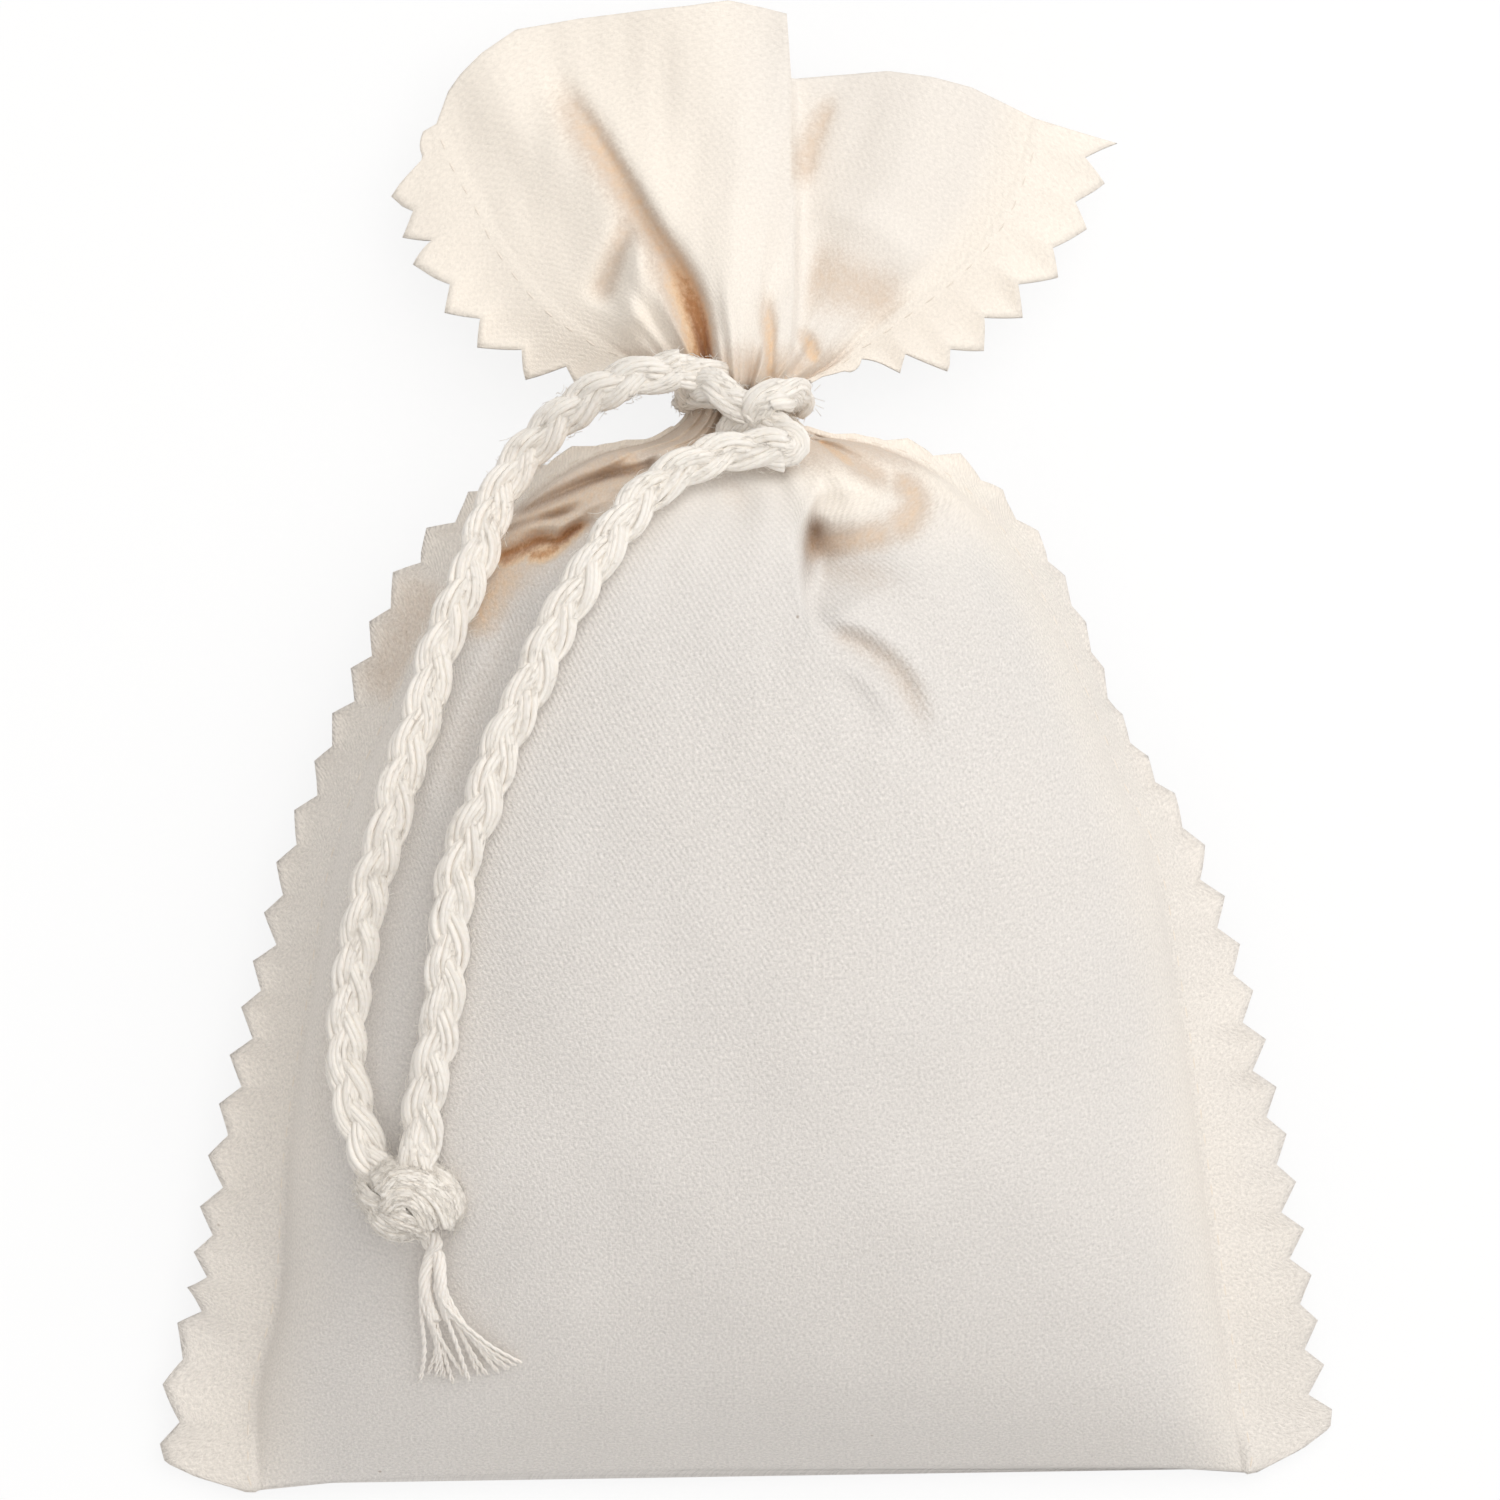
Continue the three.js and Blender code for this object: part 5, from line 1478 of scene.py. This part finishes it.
@dataclass
class PlaitedCord:
    """Soft cotton cord, plaited flat from three strands of parallel yarns."""

    route: tuple
    plait_pitch: float = 14.0
    sway: float = 1.0
    rise: float = 0.24
    strand_radius: float = 1.18
    flatness: float = 0.6
    yarns: int = 10
    yarn_radius: float = 0.36
    yarn_sides: int = 5
    core_radius: float = 0.55
    step: float = 0.45
    twist_pitch: float = 26.0
    phase: float = 0.0
    upright: tuple = (0.0, 0.0, 1.0)
    fuzz: int = 30
    seed: int = 1
    trim: float = 0.0

    def curve(self) -> Route:
        """The cord's centreline."""
        return Route(self.route)

    def _frames(self, line: Route, share: np.ndarray) -> tuple[np.ndarray, np.ndarray, np.ndarray, np.ndarray]:
        """The centreline's points, and the directions along, across and away from the cloth."""
        middle, ahead = line.at(share), line.along(share)
        across = np.cross(ahead, np.array(self.upright, dtype=float))
        across /= np.linalg.norm(across, axis=1, keepdims=True)
        return middle, ahead, across, np.cross(across, ahead)

    def build(self) -> Tube:
        """Sweeps every yarn of the three strands along the route.

        Returns:
            The yarns as one tube.
        """
        line = self.curve()
        share = np.linspace(self.trim / line.length, 1, max(8, int((line.length - self.trim) / self.step)))
        middle, _, across, above = self._frames(line, share)
        run = share * line.length
        uneven = np.random.default_rng(self.seed)
        parts = []
        for strand in range(3):
            beat = TURN * (run / self.plait_pitch + strand / 3) + self.phase
            x = self.sway * np.sin(beat) * (1 + 0.07 * np.sin(run / 3.1 + strand * 2 + self.seed))
            z = self.rise * np.sin(2 * beat)
            core = middle + across * x[:, None] + above * z[:, None]
            ring = self.strand_radius - self.yarn_radius
            points, faces, places = sweep(core, self.core_radius, 6, run)
            parts.append((points, faces, places))
            for yarn in range(self.yarns):
                turn = TURN * (yarn / self.yarns + run / self.twist_pitch) + uneven.uniform(-0.3, 0.3)
                own = 1 + 0.08 * np.sin(run / uneven.uniform(1.2, 3.2) + uneven.uniform(0, 6))
                centre = core + across * (ring * own * np.cos(turn))[:, None]
                centre += above * (ring * own * self.flatness * np.sin(turn))[:, None]
                points, faces, places = sweep(centre, self.yarn_radius * (0.9 + 0.12 * own), self.yarn_sides, run)
                places[:, 2] = strand * self.yarns + yarn + self.seed * 0.37
                parts.append((points, faces, places))
        return gathered(parts)

    def loose_fibres(self) -> Tube:
        """The fibres that stand off the cord.

        Returns:
            The fibres as one tube.
        """
        line = self.curve()
        draw = np.random.default_rng(self.seed + 50)
        share = draw.uniform(self.trim / line.length + 0.004, 0.996, int(line.length * self.fuzz))
        middle, ahead, across, above = self._frames(line, share)
        turn = draw.uniform(0, TURN, len(share))[:, None]
        side = across * np.cos(turn) + above * np.sin(turn) * 0.6
        wide = self.sway + self.strand_radius
        roots = middle + side * wide * draw.uniform(0.45, 0.98, len(share))[:, None]
        return StrayFibres(self.seed + 70).build(roots, side, ahead)


@dataclass
class YarnBand:
    """A band of yarns laid side by side over a rounded middle, as cord drawn tight in a knot."""

    route: tuple
    centre: tuple
    width: float = 2.4
    yarns: int = 6
    yarn_radius: float = 0.28
    crown: float = 0.5
    taper: float = 0.3
    fuzz: int = 22
    seed: int = 1

    def build(self) -> Tube:
        """Sweeps the yarns side by side along the route, with fibres that stand off them.

        Returns:
            The yarns and fibres as one tube.
        """
        line = Route(self.route, 12)
        share = np.linspace(0, 1, max(8, int(line.length / 0.35)))
        middle, ahead = line.at(share), line.along(share)
        above = middle - np.array(self.centre)
        across = np.cross(ahead, above)
        across /= np.linalg.norm(across, axis=1, keepdims=True)
        above = np.cross(across, ahead)
        draw = np.random.default_rng(self.seed)
        spread = self.width / 2 * (1 - self.taper * (2 * share - 1) ** 2)
        run = share * line.length
        parts = []
        for yarn in range(self.yarns):
            off = 2 * (yarn + 0.5) / self.yarns - 1 + draw.uniform(-0.07, 0.07)
            wobble = 0.1 * np.sin(run / draw.uniform(0.9, 2.4) + draw.uniform(0, 6))
            centre = middle + across * (off * spread + wobble)[:, None]
            centre += above * (self.crown * (1 - off * off) + wobble * 0.6 + draw.uniform(-0.08, 0.08))[:, None]
            points, faces, places = sweep(centre, self.yarn_radius * draw.uniform(0.88, 1.08), 6, run)
            places[:, 2] = yarn + self.seed * 0.61
            parts.append((points, faces, places))
        pick = draw.integers(0, len(share), int(line.length * self.fuzz))
        off = draw.uniform(-1, 1, len(pick))
        roots = middle[pick] + across[pick] * (off * spread[pick])[:, None]
        roots += above[pick] * (self.crown * (1 - off * off) + self.yarn_radius)[:, None]
        parts.append(StrayFibres(self.seed + 30).build(roots, above[pick], ahead[pick]))
        return gathered(parts)


@dataclass(frozen=True)
class Dome:
    """The rounded heap of a knot, over which its bands of yarn are laid."""

    centre: tuple
    half: tuple

    def over(self, *places: tuple, under: bool = False) -> tuple:
        """Points on the dome above (or under) these places, in millimetres; the third number lifts a point off it.

        Args:
            places: Two numbers for each point, and a third for its lift.
            under: Whether the points lie below.

        Returns:
            The points.
        """
        (cx, cy, cz), (a, b, c) = self.centre, self.half
        points = []
        for x, y, *lift in places:
            inside = 1 - ((x - cx) / a) ** 2 - ((y - cy) / b) ** 2
            height = c * math.sqrt(max(inside, 0.0)) if inside > 0 else c * inside
            points.append((x, y, cz - height * 0.78 if under else cz + height + (lift[0] if lift else 0.0)))
        return tuple(points)


@dataclass
class CordTie:
    """The cord: its turn and knot at the neck, its two tails, the knot that joins them, and the tassel."""

    bag: BagCloth
    diameter: float = 4.0
    left_tail: tuple = (
        (-6.6, 37.6, 23.2), (-11.9, 36.7, 23.0), (-16.9, 34.2, 21.2), (-21.9, 29.7, 19.0), (-24.9, 25.2, 19.3),
        (-26.9, 19.2, 22.8), (-28.4, 15.2, 24.6), (-30.4, 10.2, 25.6), (-31.9, 4.2, 26.9), (-33.9, -1.9, 27.6),
        (-35.4, -7.9, 27.9), (-37.1, -12.9, 27.1), (-38.4, -18.9, 26.1), (-39.4, -24.9, 25.2), (-39.7, -29.9, 24.9),
        (-39.0, -34.6, 25.4), (-37.6, -39.0, 26.3), (-36.2, -41.6, 26.9),
    )
    right_tail: tuple = (
        (5.2, 29.4, 27.3), (-0.9, 29.6, 27.4), (-4.9, 28.4, 28.7), (-8.9, 26.2, 29.5), (-12.9, 21.7, 31.5),
        (-15.9, 17.2, 32.7), (-18.9, 12.2, 33.4), (-21.4, 6.2, 34.0), (-23.9, 1.2, 34.1), (-25.9, -4.9, 34.3),
        (-27.9, -9.9, 33.7), (-28.9, -14.9, 33.2), (-29.4, -19.9, 32.8), (-29.9, -24.9, 32.1), (-30.9, -29.9, 31.0),
        (-32.0, -34.9, 29.8), (-32.2, -39.5, 28.9),
    )
    right_trim: float = 1.6
    neck_middle: tuple = (-0.95, 34.7, 13.0)
    turn_across: float = 4.9
    turn_deep: float = 8.0
    neck_strands: tuple = (
        ((-5.4, 34.8, 15.0), (-5.8, 35.8, 19.4), (-5.0, 36.4, 22.6), (-3.7, 36.1, 24.0), (-1.4, 34.6, 24.6),
         (0.8, 33.1, 24.2), (2.4, 31.8, 22.4)),
        ((-2.3, 31.0, 21.0), (-0.8, 32.6, 23.4), (0.8, 34.2, 25.2), (2.6, 35.1, 25.3), (4.3, 35.3, 23.4),
         (5.0, 34.9, 19.6), (4.6, 34.7, 15.0)),
        ((-7.2, 37.6, 23.2), (-4.9, 37.4, 22.9), (-3.2, 36.8, 21.6), (-2.2, 36.0, 19.8)),
        ((0.4, 32.6, 23.6), (2.4, 32.0, 25.0), (4.0, 31.0, 26.2), (4.3, 29.9, 27.0), (3.0, 29.5, 27.3)),
    )
    knot: Dome = Dome((-33.2, -44.2, 26.6), (4.8, 4.1, 3.4))
    heap_rings: int = 28
    heap_sides: int = 72
    heap_inset: float = 0.7
    heap_groove: float = 0.13
    knot_bands: tuple = (
        (((-37.6, -41.8), (-38.0, -43.0), (-37.2, -44.2), (-35.4, -44.8), (-33.6, -44.4)), 2.6, 0.0),
        (((-37.0, -44.6), (-36.2, -46.2), (-34.4, -47.0), (-32.6, -46.6)), 2.6, 0.1),
        (((-36.0, -45.0), (-34.6, -45.8), (-33.0, -46.4), (-31.6, -47.2)), 2.4, 0.1),
        (((-35.8, -45.0), (-34.6, -43.6), (-33.0, -43.6), (-31.8, -44.8), (-31.2, -46.6)), 2.6, 0.3),
        (((-36.0, -43.6), (-34.4, -41.9), (-32.0, -42.2), (-30.2, -43.8), (-29.4, -46.2)), 2.8, 0.5),
        (((-36.8, -42.2), (-34.6, -40.9), (-31.6, -41.0), (-29.4, -42.6), (-28.6, -44.8), (-29.6, -46.8)), 2.6, 0.2),
    )
    under_bands: tuple = (
        ((-36.2, -41.9), (-34.2, -41.3), (-32.0, -41.4), (-30.2, -42.0)),
        ((-37.3, -43.4), (-35.2, -42.9), (-32.8, -43.0), (-30.2, -43.4), (-29.1, -44.2)),
        ((-37.2, -45.0), (-35.4, -44.8), (-34.0, -44.9), (-32.8, -45.1)),
    )
    knot_leads: tuple = (
        ((-36.6, -41.0, 26.8), (-35.4, -42.4, 27.4), (-34.2, -43.8, 27.0)),
        ((-32.2, -39.0, 29.0), (-32.7, -40.8, 28.9), (-33.6, -42.6, 28.2)),
    )
    tassel_strands: tuple = (
        ((-31.3, -47.3, 26.8), (-30.8, -48.4, 26.6), (-31.3, -49.6, 25.4), (-31.9, -51.8, 24.7), (-31.9, -53.4, 24.2),
         (-31.4, -55.2, 23.2), (-30.9, -56.2, 22.5)),
        ((-31.2, -47.3, 26.5), (-31.5, -48.4, 25.9), (-30.6, -49.6, 25.6), (-30.4, -51.8, 25.2), (-30.2, -54.0, 24.2),
         (-29.6, -56.0, 23.0)),
    )
    strand_plies: int = 6
    strand_yarn_radius: float = 0.26
    frayed_yarns: int = 15
    frayed_radius: float = 0.17
    yarn_tips: tuple = (
        (-32.6, -61.9, 17.2), (-31.2, -61.7, 18.2), (-29.0, -62.3, 17.8), (-27.4, -62.0, 18.8),
        (-25.9, -61.6, 19.2), (-24.0, -61.2, 20.1), (-22.2, -60.4, 20.6),
    )

    def __post_init__(self) -> None:
        """Makes the finishes that the cord and its frayed ends have."""
        self.finish = YarnFinish("cotton_cord").make()
        self.frayed = YarnFinish("frayed_cotton", light=(255, 251, 246), dark=(246, 238, 228)).make()

    def tail(self, name: str, node: str, cord: PlaitedCord, start: Point, end: Point) -> bpy.types.Object:
        """A free tail with its loose fibres, between the bag and the loop.

        Args:
            name: The piece's name.
            node: The CAD node that it stands for.
            cord: The cord itself.
            start: Not used.
            end: Not used.

        Returns:
            The tail.
        """
        piece = yarn_piece(name, [cord.build()], self.finish)
        fluff = yarn_piece(f"{name}_fibres", [cord.loose_fibres()], self.finish)
        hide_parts(node)
        for part in (piece, fluff):
            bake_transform(part)
        line = cord.curve()
        share = np.linspace(cord.trim / line.length, 1, 60)
        path = [tuple(p) for p in line.at(share) * MM]
        return piece

    def neck(self) -> None:
        """The turn round the neck and the knot on its front."""
        x, y, z = self.neck_middle
        turns = np.linspace(math.radians(12), math.radians(348), 30)
        ring = tuple((x + self.turn_across * math.sin(t), y, z + self.turn_deep * math.cos(t)) for t in turns)
        turn = PlaitedCord(ring, seed=5, upright=(0.0, 1.0, 0.0), sway=1.1, rise=0.2, strand_radius=0.85, yarns=8,
                           yarn_radius=0.3, fuzz=8)
        ring_piece = yarn_piece("neck_cord_turn", [turn.build(), turn.loose_fibres()], self.finish)
        join(ring_piece, BAG, "cord_neck_turn")
        parts = []
        for k, route in enumerate(self.neck_strands):
            cord = PlaitedCord(route, seed=20 + k, phase=1.3 * k, sway=0.8, strand_radius=1.05, yarn_radius=0.32,
                               step=0.35)
            parts += [cord.build(), cord.loose_fibres()]
        join(yarn_piece("tie_knot", parts, self.finish), BAG, "neck_knot")

    def _heap(self, dome: Dome) -> Tube:
        """A rounded middle for a knot, grooved between its yarns and closed top and bottom.

        Args:
            dome: The knot's form.

        Returns:
            The heap as a tube.
        """
        rings, sides = self.heap_rings, self.heap_sides
        turn = np.linspace(-np.pi / 2, np.pi / 2, rings)[1:-1, None]
        way = TURN * np.arange(sides)[None, :] / sides
        ball = np.stack([np.cos(turn) * np.cos(way), np.cos(turn) * np.sin(way), np.sin(turn) + 0 * way], -1)
        ball = ball.reshape(-1, 3)
        groove = (1 - np.abs(np.sin(7 * ball[:, 1] + 2.2 * ball[:, 0] + 0.6 * np.sin(3 * ball[:, 0])))) ** 2
        half = np.array(dome.half) - self.heap_inset
        points = np.array(dome.centre) + ball * half * (1 - self.heap_groove * groove[:, None])
        ends = np.array(dome.centre) + np.array([[0, 0, -1.0], [0, 0, 1.0]]) * half[2]
        points = np.array([self._off_cloth(point, 0.0) for point in np.vstack([points, ends])])
        return points, capped_faces(rings - 2, sides), points * [0.5, 0.1, 0.0]

    def _off_cloth(self, point: Point, gap: float) -> Point:
        """The point, raised to lie at least this gap above the cloth."""
        x, y, z = point
        return x, y, max(z, self.bag.top_at(x, y) + gap)

    def end_knot(self) -> None:
        """The overhand knot that joins the tails: bands of yarn drawn tight over each other."""
        parts = [self._heap(self.knot)]
        for k, (places, width, lift) in enumerate(self.knot_bands):
            route = self.knot.over(*[(x, y, lift) for x, y in places])
            parts.append(YarnBand(route, self.knot.centre, width=width, yarns=8, seed=40 + k).build())
        for k, places in enumerate(self.under_bands):
            route = tuple(self._off_cloth(point, 0.3) for point in self.knot.over(*places, under=True))
            band = YarnBand(route, self.knot.centre, width=2.3, yarns=7, crown=0.3, taper=0.15, seed=50 + k)
            parts.append(band.build())
        for k, route in enumerate(self.knot_leads):
            cord = PlaitedCord(route, seed=30 + k, phase=0.9 * k, sway=1.0, step=0.35)
            parts += [cord.build(), cord.loose_fibres()]
        join(yarn_piece("loop_knot", parts, self.finish), LOOP, "end_knot")

    def tassel(self) -> None:
        """Two short twisted strands that fray into thin yarns."""
        draw = np.random.default_rng(8)
        parts = []
        strands = [Route(route) for route in self.tassel_strands]
        for s, strand in enumerate(strands):
            share = np.linspace(0, 1, 40)
            middle, run = strand.at(share), share * strand.length
            for k in range(self.strand_plies):
                turn = TURN * (k / self.strand_plies + run / (7.0 + s))
                ring = 0.36 + 0.16 * (1 - share) ** 2
                centre = middle + np.stack([ring * np.cos(turn), 0.3 * ring * np.sin(turn), ring * np.sin(turn)], -1)
                points, faces, places = sweep(centre, self.strand_yarn_radius, 6, run)
                places[:, 2] = k + 9 * s
                parts.append((points, faces, places))
        tips = Route(self.yarn_tips, 8)
        for k, place in enumerate(np.linspace(0, 1, self.frayed_yarns)):
            strand = strands[0 if place < 0.45 else 1]
            side = draw.normal(0, 0.14, 3)
            end = tips.at(place) + draw.normal(0, 1, 3) * [0.2, 0.3, 0.0]
            end[2] = max(end[2], self.bag.top_at(end[0], end[1]) + 0.45)
            foot = strand.at(1.0)
            half = foot * 0.5 + end * 0.5 + np.array([draw.normal(0, 0.22), 0.0, 0.5])
            half[2] = max(half[2], self.bag.top_at(half[0], half[1]) + 0.9)
            line = Route([strand.at(0.4) + side, strand.at(0.7) + side * 2.0, half + side * 0.5, end], 8)
            share = np.linspace(0, 1, 26)
            middle, run = line.at(share), share * line.length
            for ply in (0.0, np.pi):
                turn = run * 2.6 + ply + k
                wide = (0.1 + 0.08 * share**4)[:, None]
                centre = middle + wide * np.stack([np.cos(turn), 0 * turn, np.sin(turn)], -1)
                points, faces, places = sweep(centre, self.frayed_radius * (1 - 0.3 * share**3), 5, run)
                places[:, 2] = 20 + 2 * k + ply
                parts.append((points, faces, places))
        join(yarn_piece("cord_tassel", parts, self.frayed), TASSEL, "tassel")

    def build(self) -> None:
        """Builds the whole cord."""
        left = PlaitedCord(self.left_tail, seed=2, phase=1.4)
        right = PlaitedCord(self.right_tail, seed=3, phase=2.1, trim=self.right_trim)
        self.tail("cord_tail_l", "cord_tail_left", left, (-6.0, 37.0, 23.0), (-17.0, 34.0, 21.0))
        self.tail("cord_tail_r", "cord_tail_right", right, (4.0, 29.5, 27.0), (-9.0, 26.0, 29.5))
        self.neck()
        self.end_knot()
        self.tassel()


@dataclass
class SeamStitches:
    """The side seams' lockstitches: short threads that lie on the allowance, front and back."""

    stitch: float = 2.6
    gap: float = 0.5
    radius: float = 0.13
    inset: float = 0.8
    lift: float = -0.07

    def build(self, bag: BagCloth) -> None:
        """Sews both seams, with one piece for each thread.

        Args:
            bag: The bag, which is already draped.
        """
        finish = YarnFinish(
            "sewing_thread", light=(244, 236, 226), dark=(230, 219, 205), twist_pitch=0.4, glow=0.0).make()
        names = {Layer.FRONT: "needle", Layer.BACK: "bobbin"}
        for side in Side:
            for layer in Layer:
                thread = f"{side.value}_seam_{names[layer]}"
                piece = yarn_piece(f"{thread}_stitches", self._row(bag, side, layer), finish)
                join(piece, BAG, f"{thread}_thread")

    def _row(self, bag: BagCloth, side: Side, layer: Layer) -> list[Tube]:
        """The stitches of one thread from the bottom fold to the mouth.

        Args:
            bag: The cloth.
            side: The side.
            layer: The face of the cloth.

        Returns:
            The stitches.
        """
        up = bag.out[side] * np.sin(bag.tilt[side])[:, None]
        up[:, 2] = np.cos(bag.tilt[side])
        up *= layer.value
        seam, first = bag.edge_of_allowance(side, layer)
        way = first - seam
        far = np.linalg.norm(way, axis=1, keepdims=True) + 1e-9
        line = Route(seam + way * np.minimum(1, self.inset / far) + up * self.lift, 2)
        parts = []
        for k in range(int(line.length / self.stitch)):
            start = k * self.stitch + self.gap / 2
            share = np.linspace(start, start + self.stitch - self.gap, 7) / line.length
            dip = np.array([0.9, 0.35, 0.05, 0, 0.05, 0.35, 0.9]) * self.radius * 1.6
            middle_up = up[min(int(share[3] * (len(up) - 1)), len(up) - 1)]
            centre = line.at(np.clip(share, 0, 1)) - middle_up[None, :] * dip[:, None]
            parts.append(sweep(centre, self.radius, 6, share * line.length))
        return parts


@dataclass
class Studio:
    """A plain pale floor, soft lamps, and the camera above the bag."""

    view_width: float = 150.0
    camera_height: float = 1000.0
    sensor: float = 36.0
    plane: float = 10.0
    centre: tuple = (0.1, 0.15)
    sky: float = 0.53
    sky_colour: tuple = (1.0, 0.975, 0.95)
    floor_half: float = 3000.0

    def camera(self) -> None:
        """Puts a long lens straight above the bag, framing the photograph's square."""
        data = bpy.data.cameras.new("camera")
        data.sensor_width = self.sensor
        data.lens = self.sensor * (self.camera_height - self.plane) / self.view_width
        data.clip_end = 20.0
        eye = bpy.data.objects.new("camera", data)
        eye.location = (self.centre[0] * MM, self.centre[1] * MM, self.camera_height * MM)
        bpy.context.scene.collection.objects.link(eye)
        bpy.context.scene.camera = eye

    def _lamp(self, name: str, place: Point, size: float, power: float, colour: Point = (1.0, 1.0, 1.0)) -> None:
        """A square soft lamp that faces the bag.

        Args:
            name: Its name.
            place: Where it stands, in metres.
            size: Its edge, in metres.
            power: Its power, in watts.
            colour: Its colour.
        """
        data = bpy.data.lights.new(name, "AREA")
        data.size = size
        data.energy = power
        data.color = colour
        lamp = bpy.data.objects.new(name, data)
        lamp.location = place
        lamp.rotation_euler = (-Vector(place)).to_track_quat("-Z", "Y").to_euler()
        bpy.context.scene.collection.objects.link(lamp)

    def build(self) -> None:
        """Lights the scene, and lays the floor."""
        self._lamp("key", (0.47, 0.46, 1.16), 1.5, 14.4, (1.0, 0.99, 0.975))
        self._lamp("fill", (0.0, -1.0, 0.6), 0.8, 0.8)
        world = bpy.data.worlds.new("studio")
        bpy.context.scene.world = world
        world.use_nodes = True
        sky = next(n for n in world.node_tree.nodes if n.bl_idname == "ShaderNodeBackground")
        sky.inputs["Color"].default_value = (*self.sky_colour, 1.0)
        sky.inputs["Strength"].default_value = self.sky
        corners = np.array([(-1, -1, 0), (1, -1, 0), (1, 1, 0), (-1, 1, 0)]) * self.floor_half
        floor = mesh_piece("floor", corners, [[0, 1, 2, 3]], smooth=False)
        floor.data.materials.append(FloorFinish().make())


def build_sachet() -> None:
    """Builds the sachet's pieces in order, and reports each."""
    bag = BagCloth()
    bag.drape()
    CordTie(bag).build()
    log.info("cord built")
    shell = bag.build()
    shell.data.materials.append(TwillFinish().make())
    join(shell, BAG, "bag_cloth")
    log.info("bag built: %d faces", len(shell.data.polygons))
    SeamStitches().build(bag)
    heap = bag.filling()
    heap.data.materials.append(BudFinish().make())
    join(heap, BAG, "lavender_filling")
    log.info("seams sewn, and the bag filled")


def main() -> None:
    """Sets the scene and builds the sachet in it."""
    logging.basicConfig(level=logging.INFO, format="%(name)s: %(message)s")
    bpy.context.scene.view_settings.view_transform = "Standard"
    studio = Studio()
    studio.camera()
    build_sachet()
    studio.build()


if __name__ == "__main__":
    main()
